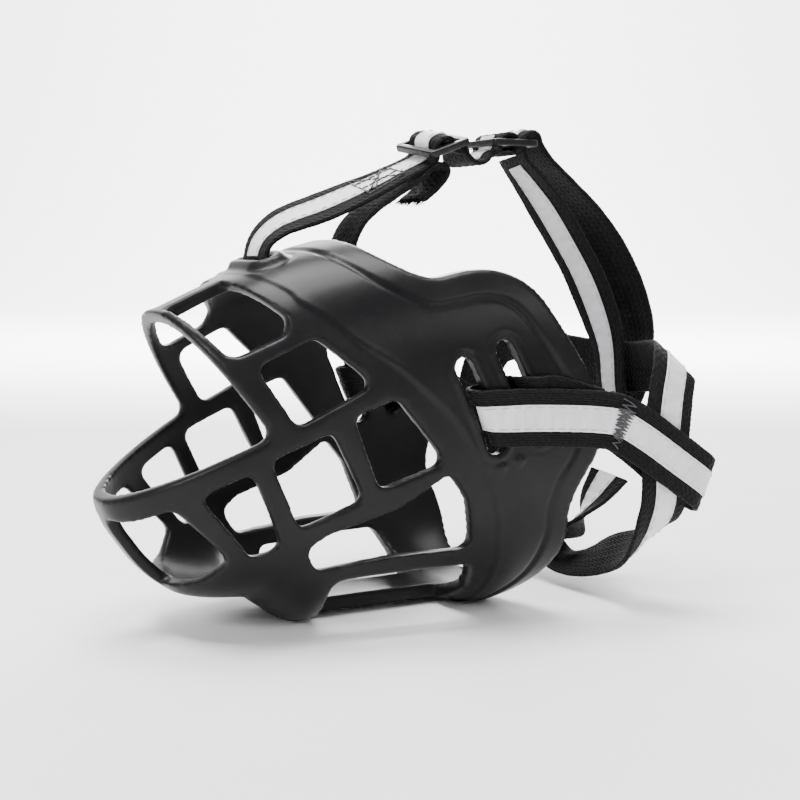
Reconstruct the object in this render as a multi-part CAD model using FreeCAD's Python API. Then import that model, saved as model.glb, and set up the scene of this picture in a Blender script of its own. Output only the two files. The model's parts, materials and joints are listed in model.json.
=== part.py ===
import FreeCAD, Part
import math
import os

from FreeCAD import Vector

# Basket muzzle for a small dog, in millimetres. X runs along the muzzle with the nose towards -X,
# the dog's left side is -Y, and +Z is up. The muzzle stands on its chin and on the lower rear rim.
# While it is built, X = 0 is a cross-section just in front of the cheek slots; at the end every
# piece is moved along X so that the origin is under the middle of the whole object.

# ---------------------------------------------------------------- driving dimensions
WALL = 3.0                 # thickness of the moulded rubber
NOSE_TIP_X = -73.2         # front of the lower lip
REAR_X = 36.0              # the blank shell runs a little past the rear rim
RIB_HALF = 3.2             # half width of the top, chin and floor ribs
FOOT_Z = 0.6               # the chin and the rear bump are flat below this height
WEB_WIDTH = 12.7           # webbing of all the straps
WEB_THICK = 1.2
TAPE_WIDTH = 5.8           # reflective tape sewn along the middle of the webbing
TAPE_THICK = 0.3
TAPE_GAP = 0.03            # the tape lies just off the webbing
THREAD = 0.5               # width and height of a run of stitches
STITCH_GAP = 0.5           # room for the curve of the strap under its flat stitches

NOTCH = (-43.8, 45.5)      # (x, z) where the upper front rim meets the lower lip
NOTCH_RADIUS = 2.5
LIP_SLOPE = 0.5            # the lip drops this much per millimetre towards the nose
RIM_TOP = (-61.2, 71.5)    # (x, z) that the front face of the upper rim points at

CHEEK_SLOT_WIDTH = 4.6
FRONT_SLOT = ((-2.2, 58.5), (5.2, 41.6))     # (x, z) ends of the slot's middle line
REAR_SLOT = ((7.4, 62.0), (15.4, 43.6))
TOP_SLOT_X = -35.6         # slot on the nose bridge that the head strap goes through
TOP_SLOT_SIZE = (4.6, 14.4)
TOP_LIP_SIZE = (10.0, 20.5)
TOP_LIP_HEIGHT = 1.5

GLIDE_BAR = 1.8            # bars of the strap sliders
GLIDE_THICK = 1.6
GLIDE_PITCH = 4.7          # from one bar to the next
REAR_GLIDE_PITCH = 5.9     # the rear slider holds two straps behind its middle bar
GLIDE_WIDTH = 16.6
GLIDE_SIDE = 1.5
GLIDE_CORNER = 1.4
FRONT_GLIDE = (8.6, 108.0, 20.0, 10.0)       # x, z, then slope and roll in degrees of the front slider
REAR_GLIDE = (26.3, 108.6, 0.0, 0.0)

BUCKLE_START = Vector(46.0, 7.5, 9.6)        # fold of the collar round the plug's bar
BUCKLE_SLOPE = 20.0        # degrees above the level, towards the dog's right
BUCKLE_WIDTH = 19.0
BUCKLE_THICK = 6.0
PLUG_LENGTH = 7.0
SOCKET_LENGTH = 17.0
PRONG_LENGTH = 9.0
PRONG_WIDTH = 1.8
PRONG_OFFSET = 5.6         # middle of a prong from the middle of the buckle
PRONG_GAP = 0.2            # room at a prong's root for its squeeze
BARB_START = 5.6           # along the buckle from the plug's shoulder
BARB_OUT = 8.6             # how far out the barb reaches

# ---------------------------------------------------------------- outline of the basket
# Each curve is a list of (x, value) that a smooth line passes through.
MIDDLE_Z = [(-73.2, 30.8), (-60.0, 37.4), (-45.0, 42.4), (-20.0, 45.4), (36.0, 47.4)]
TOP_Z = [(-60.5, 70.3), (-46.0, 76.7), (-35.5, 80.8), (-17.5, 85.7), (0.0, 90.4), (36.0, 97.0)]
BOTTOM_Z = [(-73.2, 30.8), (-71.6, 25.6), (-68.5, 20.6), (-64.9, 15.8), (-60.5, 11.7), (-56.0, 8.9),
            (-50.0, 7.6), (-42.0, 6.9), (-37.0, 3.6), (-30.5, 0.0), (-23.0, 1.4), (4.0, 1.5), (13.0, 0.0),
            (22.0, 1.6), (36.0, 3.0)]
WIDTH_AT_REAR = 38.0       # half width at x = 31
WIDTH_SLOPE = 0.12         # gain in half width per millimetre towards the rear
NOSE_LENGTH = 37.0         # length of the rounded nose in plan
TOP_ROUND = 2.7            # superellipse exponents of the upper and lower half of a section
BOTTOM_ROUND = 2.3
NOSE_TOP_LENGTH = 12.7
SHELL_RADIUS = (32.0, 38.0, 40.0)   # usual half width, rise and drop of a section, for the wall
NOSE_STEPS = 11            # sections along the rounded nose and behind it
BACK_STEPS = 11


def smooth_value(points, x):
    """Value at x of a monotone cubic through the points."""
    if x <= points[0][0]:
        return points[0][1]
    if x >= points[-1][0]:
        return points[-1][1]
    steps = [points[i + 1][0] - points[i][0] for i in range(len(points) - 1)]
    slopes = [(points[i + 1][1] - points[i][1]) / steps[i] for i in range(len(steps))]
    tangents = [slopes[0]]
    for i in range(1, len(steps)):
        if slopes[i - 1] * slopes[i] <= 0:
            tangents.append(0.0)
            continue
        first, second = 2 * steps[i] + steps[i - 1], steps[i] + 2 * steps[i - 1]
        tangents.append((first + second) / (first / slopes[i - 1] + second / slopes[i]))
    tangents.append(slopes[-1])
    i = max(k for k in range(len(steps)) if points[k][0] <= x)
    t = (x - points[i][0]) / steps[i]
    return (points[i][1] * (2 * t ** 3 - 3 * t ** 2 + 1) + tangents[i] * steps[i] * (t ** 3 - 2 * t ** 2 + t)
            + points[i + 1][1] * (3 * t ** 2 - 2 * t ** 3) + tangents[i + 1] * steps[i] * (t ** 3 - t ** 2))


def half_width(x):
    straight = WIDTH_AT_REAR + WIDTH_SLOPE * (x - 31.0)
    into_nose = max(NOSE_LENGTH - (x - NOSE_TIP_X), 0.0) / NOSE_LENGTH
    return straight * math.sqrt(max(1.0 - into_nose ** 2, 0.0))


def top_height(x):
    front = TOP_Z[0][0]
    middle = smooth_value(MIDDLE_Z, x)
    rise = smooth_value(TOP_Z, x) - middle
    if x < front:
        rise *= math.sqrt(max(1.0 - ((front - x) / NOSE_TOP_LENGTH) ** 2, 0.0))
    return middle + rise


def section(x, inset):
    """Closed superellipse at x, drawn in by inset all round, the nose included."""
    source = x
    nose_end = NOSE_TIP_X + NOSE_LENGTH
    if x < nose_end:
        source = nose_end - (nose_end - x) * NOSE_LENGTH / (NOSE_LENGTH - inset)
    middle = smooth_value(MIDDLE_Z, source)
    wide = half_width(source) * (1.0 - inset / SHELL_RADIUS[0])
    up = (top_height(source) - middle) * (1.0 - inset / SHELL_RADIUS[1])
    down = (middle - smooth_value(BOTTOM_Z, source)) * (1.0 - inset / SHELL_RADIUS[2])
    points = []
    count = 32
    for k in range(count):
        angle = 2.0 * math.pi * k / count
        c, s = math.cos(angle), math.sin(angle)
        power = TOP_ROUND if s >= 0 else BOTTOM_ROUND
        y = wide * math.copysign(abs(c) ** (2.0 / power), c)
        z = (up if s >= 0 else down) * math.copysign(abs(s) ** (2.0 / power), s)
        points.append(Vector(x, y, middle + z))
    curve = Part.BSplineCurve()
    curve.interpolate(Points=points, PeriodicFlag=True)
    return Part.Wire(curve.toShape())


def shell_blank(inset):
    """Loft of the whole cup, closed at the nose."""
    nose = [NOSE_LENGTH * (k / NOSE_STEPS) ** 2 for k in range(1, NOSE_STEPS + 1)]
    stations = [NOSE_TIP_X + inset + t * (NOSE_LENGTH - inset) / NOSE_LENGTH for t in nose]
    straight = REAR_X + max(inset, 0.0) - stations[-1]
    stations += [stations[-1] + straight * k / BACK_STEPS for k in range(1, BACK_STEPS + 1)]
    return Part.makeLoft([section(x, inset) for x in stations], True, True)


# ---------------------------------------------------------------- cutting tools
def rounded_outline(points, radius):
    """Closed (x, z) polygon with its corners rounded, as an edge list in the plane y = 0."""
    corners = [Vector(p[0], 0, p[1]) for p in points]
    edges = []
    ends = []
    count = len(corners)
    for i in range(count):
        before, here, after = corners[i - 1], corners[i], corners[(i + 1) % count]
        back, ahead = (before - here), (after - here)
        angle = back.getAngle(ahead)
        if angle > math.radians(176.0):
            ends.append((here, here))
            continue
        reach = min(radius / math.tan(angle / 2.0), 0.47 * back.Length, 0.47 * ahead.Length)
        back.normalize()
        ahead.normalize()
        start, end = here + back * reach, here + ahead * reach
        actual = reach * math.tan(angle / 2.0)
        bisector = back + ahead
        bisector.normalize()
        middle = here + bisector * (actual / math.sin(angle / 2.0) - actual)
        edges.append(Part.Arc(start, middle, end).toShape())
        ends.append((start, end))
    for i in range(count):
        edges.append(Part.makeLine(ends[i][1], ends[(i + 1) % count][0]))
    return Part.Wire(Part.__sortEdges__(edges))


def side_prism(points, radius, y_from, y_to):
    """Prism along Y over a rounded (x, z) outline."""
    face = Part.Face(rounded_outline(points, radius))
    prism = face.extrude(Vector(0, y_to - y_from, 0))
    prism.translate(Vector(0, y_from, 0))
    return prism


def slot_prism(ends, width, y_from, y_to):
    """Prism along Y over a straight slot with round ends."""
    a, b = Vector(ends[0][0], 0, ends[0][1]), Vector(ends[1][0], 0, ends[1][1])
    along = (b - a)
    along.normalize()
    across = Vector(along.z, 0, -along.x) * (width / 2.0)
    cap = along * (width / 2.0)
    edges = [Part.makeLine(a + across, b + across), Part.Arc(b + across, b + cap, b - across).toShape(),
             Part.makeLine(b - across, a - across), Part.Arc(a - across, a - cap, a + across).toShape()]
    prism = Part.Face(Part.Wire(edges)).extrude(Vector(0, y_to - y_from, 0))
    prism.translate(Vector(0, y_from, 0))
    return prism


def plan_slot(x, size, z_from, z_to):
    """Upright prism over a rounded rectangle, size is (along X, along Y)."""
    box = Part.makeBox(size[0], size[1], z_to - z_from, Vector(x - size[0] / 2.0, -size[1] / 2.0, z_from))
    upright = [e for e in box.Edges if abs(e.Vertexes[0].Z - e.Vertexes[1].Z) > 1.0]
    return box.makeFillet(min(size) / 2.0 - 0.05, upright)


# windows as (x, z) outlines with their corner radius; they go through both sides
SIDE_WINDOWS = {
    "upper_side": ([(-46.6, 59.6), (-34.0, 65.4), (-22.0, 55.3), (-39.0, 47.1)], 2.6),
    "rear_side": ([(-27.0, 48.9), (-17.2, 52.4), (-5.9, 38.3), (-21.0, 33.1)], 2.6),
    "middle_side": ([(-44.5, 40.5), (-31.4, 46.0), (-24.0, 31.3), (-37.9, 25.6)], 2.4),
    "lip_side": ([(-57.6, 33.1), (-47.9, 38.2), (-40.7, 21.5), (-46.6, 19.4)], 2.4),
    "lower_side": ([(-35.8, 21.0), (-31.5, 24.0), (-16.4, 28.6), (-5.0, 35.9), (-0.4, 29.8), (2.9, 18.0),
                    (-14.5, 17.7), (-32.9, 15.8)], 2.4),
}
# windows that stop short of the middle ribs
SPLIT_WINDOWS = {
    "nose_bridge": ([(-62.5, 76.0), (-58.4, 70.9), (-55.6, 67.3), (-51.4, 61.9), (-49.4, 61.6), (-39.8, 66.0),
                     (-38.6, 69.2), (-46.6, 77.4), (-52.0, 82.0)], 1.6),
    "under_lip": ([(-78.0, 26.2), (-69.0, 27.0), (-62.0, 30.4), (-50.6, 19.0), (-55.0, 14.2), (-62.0, 11.6),
                   (-70.0, 10.0), (-78.0, 14.0)], 2.4),
}
FLOOR_WINDOW = ([(-28.6, 12.6), (-14.0, 13.4), (4.4, 13.8), (6.4, 8.0), (4.0, -6.0), (-24.0, -6.0),
                 (-27.8, 5.0)], 3.0)
FLOOR_RIB_HALF = 7.0
REAR_RIM = [(-20.6, 93.0), (-18.6, 84.6), (-13.2, 79.6), (-6.5, 77.0), (2.0, 78.5), (9.0, 78.3), (15.5, 74.8),
            (21.0, 66.6), (26.6, 57.2), (30.6, 49.0), (30.2, 40.6), (25.6, 31.0), (24.6, 25.0), (25.8, 17.0),
            (23.6, 9.5), (19.0, 2.0), (17.0, -6.0)]


def opening_prism():
    """Everything in front of the upper rim and above the lip."""
    far_x = -95.0
    lip_far = (far_x, NOTCH[1] + (far_x - NOTCH[0]) * LIP_SLOPE)
    rise = (RIM_TOP[0] - NOTCH[0]) / (RIM_TOP[1] - NOTCH[1])
    high = 120.0
    rim_far = (NOTCH[0] + (high - NOTCH[1]) * rise, high)
    return side_prism([NOTCH, lip_far, (far_x, high), rim_far], NOTCH_RADIUS, -60.0, 60.0)


def rear_prism():
    """Everything behind the rear rim."""
    curve = Part.BSplineCurve()
    curve.interpolate([Vector(x, -60.0, z) for x, z in REAR_RIM])
    start, end = curve.StartPoint, curve.EndPoint
    high, far = 120.0, 60.0
    corners = [end, Vector(far, -60.0, end.z), Vector(far, -60.0, high), Vector(start.x, -60.0, high), start]
    wire = Part.Wire([curve.toShape()] + [Part.makeLine(corners[i], corners[i + 1]) for i in range(4)])
    return Part.Face(wire).extrude(Vector(0, 120.0, 0))


def make_basket():
    hollow = shell_blank(WALL)
    body = shell_blank(0.0).cut(hollow)
    cutters = [opening_prism(), rear_prism()]
    cutters += [side_prism(points, radius, -60.0, 60.0) for points, radius in SIDE_WINDOWS.values()]
    for points, radius in SPLIT_WINDOWS.values():
        cutters.append(side_prism(points, radius, RIB_HALF, 60.0))
        cutters.append(side_prism(points, radius, -60.0, -RIB_HALF))
    cutters.append(side_prism(FLOOR_WINDOW[0], FLOOR_WINDOW[1], FLOOR_RIB_HALF, 60.0))
    cutters.append(side_prism(FLOOR_WINDOW[0], FLOOR_WINDOW[1], -60.0, -FLOOR_RIB_HALF))
    cutters += [slot_prism(ends, CHEEK_SLOT_WIDTH, -60.0, 60.0) for ends in (FRONT_SLOT, REAR_SLOT)]
    cutters.append(Part.makeBox(160.0, 80.0, 20.0, Vector(-100.0, -40.0, FOOT_Z - 20.0)))
    for cutter in cutters:
        body = body.cut(cutter)
    lip_pad = shell_blank(-TOP_LIP_HEIGHT).common(plan_slot(TOP_SLOT_X, TOP_LIP_SIZE, 70.0, 90.0))
    return body.fuse(lip_pad.cut(hollow)).cut(plan_slot(TOP_SLOT_X, TOP_SLOT_SIZE, 60.0, 100.0))


# ---------------------------------------------------------------- straps
# A strap is a list of stations (x, y, z, width direction x, y, z). It passes through them smoothly.
CROSSWISE = (0.0, 1.0, 0.0)
SLOT_LEAN = (-0.40, 0.0, 0.92)
PIECES = 3                 # straight lengths between two stations


def smooth_stations(stations, pieces):
    """Centres, tangents and width directions along a Catmull-Rom line through the stations."""
    rows = [(Vector(*s[:3]), Vector(*s[3:6])) for s in stations]
    rows = [(rows[0][0] * 2 - rows[1][0], rows[0][1])] + rows + [(rows[-1][0] * 2 - rows[-2][0], rows[-1][1])]
    result = []
    for i in range(1, len(rows) - 2):
        for k in range(pieces + (1 if i == len(rows) - 3 else 0)):
            t = k / pieces
            place = Vector()
            slope = Vector()
            factors = [-0.5 * t + t ** 2 - 0.5 * t ** 3, 1 - 2.5 * t ** 2 + 1.5 * t ** 3,
                       0.5 * t + 2 * t ** 2 - 1.5 * t ** 3, -0.5 * t ** 2 + 0.5 * t ** 3]
            rates = [-0.5 + 2 * t - 1.5 * t ** 2, -5 * t + 4.5 * t ** 2, 0.5 + 4 * t - 4.5 * t ** 2,
                     -t + 1.5 * t ** 2]
            for j in range(4):
                place += rows[i - 1 + j][0] * factors[j]
                slope += rows[i - 1 + j][0] * rates[j]
            wide = rows[i][1] * (1 - t) + rows[i + 1][1] * t
            slope.normalize()
            wide = wide - slope * wide.dot(slope)
            wide.normalize()
            result.append((place, slope, wide))
    return result


def strap(stations, width=WEB_WIDTH, thick=WEB_THICK, lift=0.0, span=None):
    """Closed solid of a flat strap; lift moves it off the middle line, span picks a run of stations."""
    rows = smooth_stations(stations, PIECES)
    if span:
        rows = rows[span[0] * PIECES:span[1] * PIECES + 1]
    wires = []
    for place, slope, wide in rows:
        out = slope.cross(wide)
        middle = place + out * lift
        w, t = wide * (width / 2.0), out * (thick / 2.0)
        corners = [middle + w + t, middle - w + t, middle - w - t, middle + w - t]
        wires.append(Part.makePolygon(corners + [corners[0]]))
    return Part.makeLoft(wires, True, True)


def tape(stations, side, span):
    """Reflective tape on one face of a strap; side is +1 or -1."""
    lift = side * (WEB_THICK / 2.0 + TAPE_THICK / 2.0 + TAPE_GAP)
    return strap(stations, TAPE_WIDTH, TAPE_THICK, lift, span)


def with_width(points, direction):
    return [tuple(p) + tuple(direction) for p in points]


def on_glide(place, points):
    """Stations at points given along and above a slider, with their width along its bars."""
    x, z, slope, roll = place
    c, s = math.cos(math.radians(slope)), math.sin(math.radians(slope))
    rise, lean = math.cos(math.radians(roll)), math.sin(math.radians(roll))
    return [(x + along * c - above * rise * s, -above * lean, z + along * s + above * rise * c,
             -lean * s, rise, lean * c) for along, above in points]


# how the webbing weaves over a slider's middle bar: (along, above) in the slider's own directions
OVER_BAR = [(-5.0, -2.75), (-3.0, -1.9), (-2.3, 0.0), (-1.8, 1.5), (0.0, 2.05), (1.8, 1.5)]

# From the cut end, up to the front slider and back under the strap, round the bridge between the rear
# rim and the top slot, up through the slot, over the front slider, down into the slack and round the
# middle bar of the rear slider.
HEAD_STRAP = (with_width([
    (3.4, 0.0, 95.0), (6.2, 0.0, 97.2), (8.6, 0.0, 99.6), (9.6, 0.0, 101.8), (8.2, 0.0, 103.2),
    (5.2, 0.0, 101.8), (1.4, 0.0, 99.0), (-3.4, 0.0, 96.0), (-8.5, 0.0, 92.8), (-12.2, 0.0, 89.4),
    (-14.2, 0.0, 86.0), (-15.4, 0.0, 82.6), (-18.2, 0.0, 80.2), (-24.0, 0.0, 78.7), (-30.5, 0.0, 76.4),
    (-34.4, 0.0, 75.6), (-36.1, 0.0, 77.6), (-36.1, 0.0, 82.0)], CROSSWISE)
    + [(-34.6, 0.0, 85.6, 0.0, 1.0, 0.15), (-31.2, 0.0, 88.6, 0.0, 1.0, 0.3), (-26.8, 0.0, 90.7, 0.0, 1.0, 0.42),
       (-20.0, 0.0, 93.1, 0.0, 1.0, 0.45), (-12.5, 0.0, 96.1, 0.0, 1.0, 0.4), (-6.0, 0.0, 98.8, 0.0, 1.0, 0.3),
       (-0.4, 0.0, 101.4, 0.0, 1.0, 0.22)]
    + on_glide(FRONT_GLIDE, OVER_BAR + [(2.3, 0.0), (3.0, -1.9), (5.0, -2.9)])
    + with_width([(15.6, 0.0, 104.7), (17.8, 0.0, 103.8), (20.0, 0.0, 104.4)], CROSSWISE)
    + on_glide(REAR_GLIDE, OVER_BAR + [(2.1, 0.0), (1.7, -1.6), (0.2, -2.3)]))
HEAD_TAPE_SPAN = (17, 40)
HEAD_STITCH = 23

# Loop over the rear bar of the rear slider, down behind the collar, under it and up in front of it.
NECK_LOOP = [
    (30.5, 0.0, 106.2, 0.0, 1.0, 0.0), (30.4, 0.0, 108.4, 0.0, 1.0, 0.0), (30.8, 0.0, 110.4, 0.0, 1.0, 0.0),
    (32.5, 0.0, 111.4, 0.0, 1.0, 0.0), (34.3, 0.0, 110.6, 0.0, 1.0, 0.0), (35.3, 0.0, 108.4, 0.0, 1.0, 0.0),
    (38.6, 0.0, 104.6, 0.0, 1.0, 0.0), (44.0, -0.6, 99.4, -0.1, 1.0, 0.0),
    (50.8, -1.2, 92.2, -0.3, 0.95, 0.0), (57.0, -2.0, 83.4, -0.45, 0.89, 0.0),
    (61.8, -2.6, 75.0, -0.4, 0.92, 0.0), (65.4, -3.2, 66.4, -0.2, 0.98, 0.0),
    (66.4, -3.6, 59.0, 0.0, 1.0, 0.0), (65.4, -4.0, 51.6, 0.07, 1.0, 0.0),
    (63.2, -4.0, 46.0, 0.07, 1.0, 0.0), (60.8, -4.0, 44.6, 0.07, 1.0, 0.0),
    (58.8, -4.0, 46.4, 0.07, 1.0, 0.0), (58.0, -4.0, 51.0, 0.07, 1.0, 0.0),
    (57.2, -4.0, 58.6, 0.0, 1.0, 0.0), (55.2, -3.8, 65.4, -0.2, 0.98, 0.0),
    (51.6, -3.2, 74.2, -0.3, 0.95, 0.0), (47.4, -2.8, 81.8, -0.3, 0.95, 0.0),
    (40.0, -2.0, 93.0, -0.3, 0.95, 0.0), (35.2, -1.2, 99.4, -0.15, 0.99, 0.0), (31.8, -0.3, 103.8, 0.0, 1.0, 0.0),
    (30.7, 0.0, 105.9, 0.0, 1.0, 0.0)]
NECK_TAPE_SPAN = (2, 24)

CHEEK_TAPE_SPAN = (3, 15)
CHEEK_STITCH = 9


def cheek_strap(side):
    """Closed loop: from the stitches back round the collar, forward to the slots and back again."""
    rows = [(29.6, 39.9, 46.6, (0.1, 0, 1)), (33.4, 40.0, 45.2, (0.2, 0, 1)), (40.0, 38.9, 41.2, (0.5, 0, 0.87)),
            (47.5, 38.0, 36.0, (0.5, 0, 0.87)), (54.4, 38.4, 31.4, (0.42, 0, 0.9)),
            (56.8, 41.0, 29.8, (0.38, 0, 0.92)), (54.4, 43.5, 31.4, (0.42, 0, 0.9)),
            (46.5, 43.7, 36.6, (0.5, 0, 0.87)), (39.0, 42.8, 41.8, (0.45, 0, 0.9)),
            (33.0, 41.5, 45.4, (0.2, 0, 1)), (27.0, 40.9, 46.6, (0, 0, 1)), (19.0, 39.5, 47.2, (0, 0, 1)),
            (11.5, 38.1, 47.5, (-0.1, 0, 1)), (6.6, 37.1, 47.6, SLOT_LEAN), (3.3, 35.6, 47.7, SLOT_LEAN),
            (2.3, 33.4, 47.8, SLOT_LEAN), (2.3, 31.4, 47.9, SLOT_LEAN), (3.9, 29.9, 48.2, SLOT_LEAN),
            (7.2, 30.2, 49.0, SLOT_LEAN), (10.8, 30.7, 50.0, SLOT_LEAN), (12.5, 32.4, 50.3, SLOT_LEAN),
            (12.9, 34.8, 50.4, SLOT_LEAN), (14.9, 37.0, 50.3, SLOT_LEAN), (18.5, 37.9, 49.9, (-0.1, 0, 1)),
            (23.4, 38.8, 48.4, (0, 0, 1)), (28.0, 39.5, 47.0, (0.1, 0, 1))]
    return [(x, side * out, z) + wide for x, out, z, wide in rows]


# The collar runs from the buckle's socket up the right side, over the top, down the left side,
# along the bottom, round the plug's bar and ends in a free tail.
BUCKLE_ALONG = (math.cos(math.radians(BUCKLE_SLOPE)), math.sin(math.radians(BUCKLE_SLOPE)))


def by_buckle(along, inward):
    """Station at a distance along the buckle and towards the inside of the collar."""
    c, s = BUCKLE_ALONG
    return (BUCKLE_START.x, BUCKLE_START.y + along * c - inward * s, BUCKLE_START.z + along * s + inward * c,
            -1, 0, 0)


COLLAR_TOP = [(46.3, 41.2, 42.0, -1, 0, 0), (47.2, 41.0, 50.0, -0.97, 0, 0.25), (49.8, 39.0, 56.2, -0.9, 0, 0.43),
              (53.6, 33.6, 58.0, -0.75, 0, 0.66), (57.8, 24.0, 56.6, -0.5, 0, 0.87),
              (60.4, 12.0, 54.8, -0.15, 0, 0.99), (61.2, 0.0, 54.2, 0, 0, 1)]
COLLAR_SIDE = [(46.0, 36.6, 20.4, -1, 0, 0), (46.0, 39.3, 23.4, -1, 0, 0), (46.0, 40.9, 27.6, -1, 0, 0),
               (46.0, 41.1, 34.0, -1, 0, 0)]


def left_side(stations):
    return [(s[0], -s[1]) + s[2:] for s in stations]


COLLAR = ([by_buckle(24.6, 1.0), by_buckle(28.2, 1.4)] + COLLAR_SIDE + COLLAR_TOP + left_side(COLLAR_TOP[-2::-1])
          + [(46.0, -41.1, 34.0, -1, 0, 0), (46.0, -40.9, 27.6, -1, 0, 0), (46.0, -39.4, 23.2, -1, 0, -0.08),
             (46.0, -36.4, 19.4, -1, 0, -0.4), (46.0, -30.0, 14.4, -1, 0, -0.9), (46.0, -19.0, 10.4, -1, 0, -1.1),
             (46.0, -8.0, 7.0, -1, 0, -0.5),
             by_buckle(-6.5, -1.2), by_buckle(-0.6, -1.2), by_buckle(1.5, -0.6), by_buckle(2.2, 1.0),
             by_buckle(1.5, 2.6), by_buckle(-0.6, 3.2), by_buckle(-5.0, 3.2),
             (46.8, -2.4, 12.8, -1, -0.1, 0), (49.0, -4.6, 16.8, -0.7, -0.7, 0),
             (52.6, -5.4, 22.0, -0.1, -1, 0), (57.0, -5.4, 27.2, 0.3, -0.95, 0)])
COLLAR_TAPE_SPAN = (3, len(COLLAR) - 1)
COLLAR_STITCH = 1


# ---------------------------------------------------------------- sliders, buckle and stitches
def make_glide(place, rear_pitch):
    """Slider with three bars along Y; rear_pitch is from the middle bar to the rear bar."""
    x, z, slope, roll = place
    front, rear = -GLIDE_PITCH - GLIDE_BAR / 2.0, rear_pitch + GLIDE_BAR / 2.0
    plate = Part.makeBox(rear - front, GLIDE_WIDTH, GLIDE_THICK, Vector(front, -GLIDE_WIDTH / 2, -GLIDE_THICK / 2))
    upright = [e for e in plate.Edges if abs(e.Vertexes[0].Z - e.Vertexes[1].Z) > 1.0]
    plate = plate.makeFillet(GLIDE_CORNER, upright)
    clear = GLIDE_WIDTH - 2 * GLIDE_SIDE
    for gap_from, gap_to in ((-GLIDE_PITCH, 0.0), (0.0, rear_pitch)):
        start, length = gap_from + GLIDE_BAR / 2.0, gap_to - gap_from - GLIDE_BAR
        plate = plate.cut(Part.makeBox(length, clear, 8.0, Vector(start, -clear / 2, -4.0)))
    plate.rotate(Vector(), Vector(1, 0, 0), roll)
    plate.rotate(Vector(), Vector(0, 1, 0), -slope)
    plate.translate(Vector(x, 0, z))
    return plate


def place_on_collar(shape):
    """From the buckle's own frame (X along the collar, Y across it, Z outwards) to its place."""
    shape.rotate(Vector(), Vector(0, 0, 1), 90.0)
    shape.rotate(Vector(), Vector(1, 0, 0), BUCKLE_SLOPE)
    shape.translate(BUCKLE_START)
    return shape


def centred_box(x_from, x_to, width, z_from, z_to, y_middle=0.0):
    return Part.makeBox(x_to - x_from, width, z_to - z_from, Vector(x_from, y_middle - width / 2.0, z_from))


BUCKLE_MIDDLE_Z = 1.0      # middle of the buckle's thickness above the fold of the collar
BAR_HALF = 1.1
BUCKLE_WINDOW = 14.2       # clear width for the webbing
TONGUE_WIDTH = 3.0
PLUG_START = -1.1          # outer edge of the plug's bar
SOCKET_START = PLUG_START + PLUG_LENGTH + 0.05       # the socket closes up to the shoulder
SOCKET_END = SOCKET_START + SOCKET_LENGTH
SOCKET_BODY = 11.6         # length of the socket's hollow part
SOCKET_DEPTH = 10.2
SOCKET_INSIDE = (15.6, 2.6)                  # clear width and height
SIDE_OPENING_END = 9.8
SOCKET_TAIL_HALF = 1.2     # half thickness of the flat part that carries the bar
PLUG_SHOULDER = 1.6        # length and half thickness of the plug's solid part
SHOULDER_END = PLUG_START + PLUG_LENGTH
PRONG_LOW, PRONG_HIGH = BUCKLE_MIDDLE_Z - 1.0, BUCKLE_MIDDLE_Z + 1.0


def make_plug():
    """Plug with a bar for the webbing, a solid shoulder and a guide tongue."""
    low, high = BUCKLE_MIDDLE_Z - PLUG_SHOULDER, BUCKLE_MIDDLE_Z + PLUG_SHOULDER
    shoulder_start = SHOULDER_END - PLUG_SHOULDER
    frame = centred_box(PLUG_START, SHOULDER_END - 1.0, BUCKLE_WIDTH, BUCKLE_MIDDLE_Z - BAR_HALF,
                        BUCKLE_MIDDLE_Z + BAR_HALF)
    frame = frame.fuse(centred_box(shoulder_start, SHOULDER_END, BUCKLE_WIDTH, low, high))
    frame = frame.cut(centred_box(PLUG_START + 2 * BAR_HALF, shoulder_start, BUCKLE_WINDOW, low - 1, high + 1))
    tongue = centred_box(SHOULDER_END - 0.2, SHOULDER_END + PRONG_LENGTH, TONGUE_WIDTH, PRONG_LOW, PRONG_HIGH)
    return place_on_collar(frame.fuse(tongue).removeSplitter())


def make_prong(side):
    """Sprung prong with its barb; side is +1 for the front one and -1 for the rear one."""
    inner = PRONG_OFFSET - PRONG_WIDTH / 2.0
    arm = centred_box(SHOULDER_END + PRONG_GAP, SHOULDER_END + PRONG_LENGTH, PRONG_WIDTH, PRONG_LOW,
                      PRONG_HIGH, side * PRONG_OFFSET)
    barb = centred_box(SHOULDER_END + BARB_START, SHOULDER_END + PRONG_LENGTH, BARB_OUT - inner, PRONG_LOW,
                       PRONG_HIGH, side * (inner + BARB_OUT) / 2.0)
    return place_on_collar(arm.fuse(barb).removeSplitter())


def prong_root(side):
    """Where a prong bends, as a point in the same frame as the pieces."""
    return place_on_collar(Part.Vertex(SHOULDER_END + PRONG_GAP, side * PRONG_OFFSET, BUCKLE_MIDDLE_Z)).Point


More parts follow.
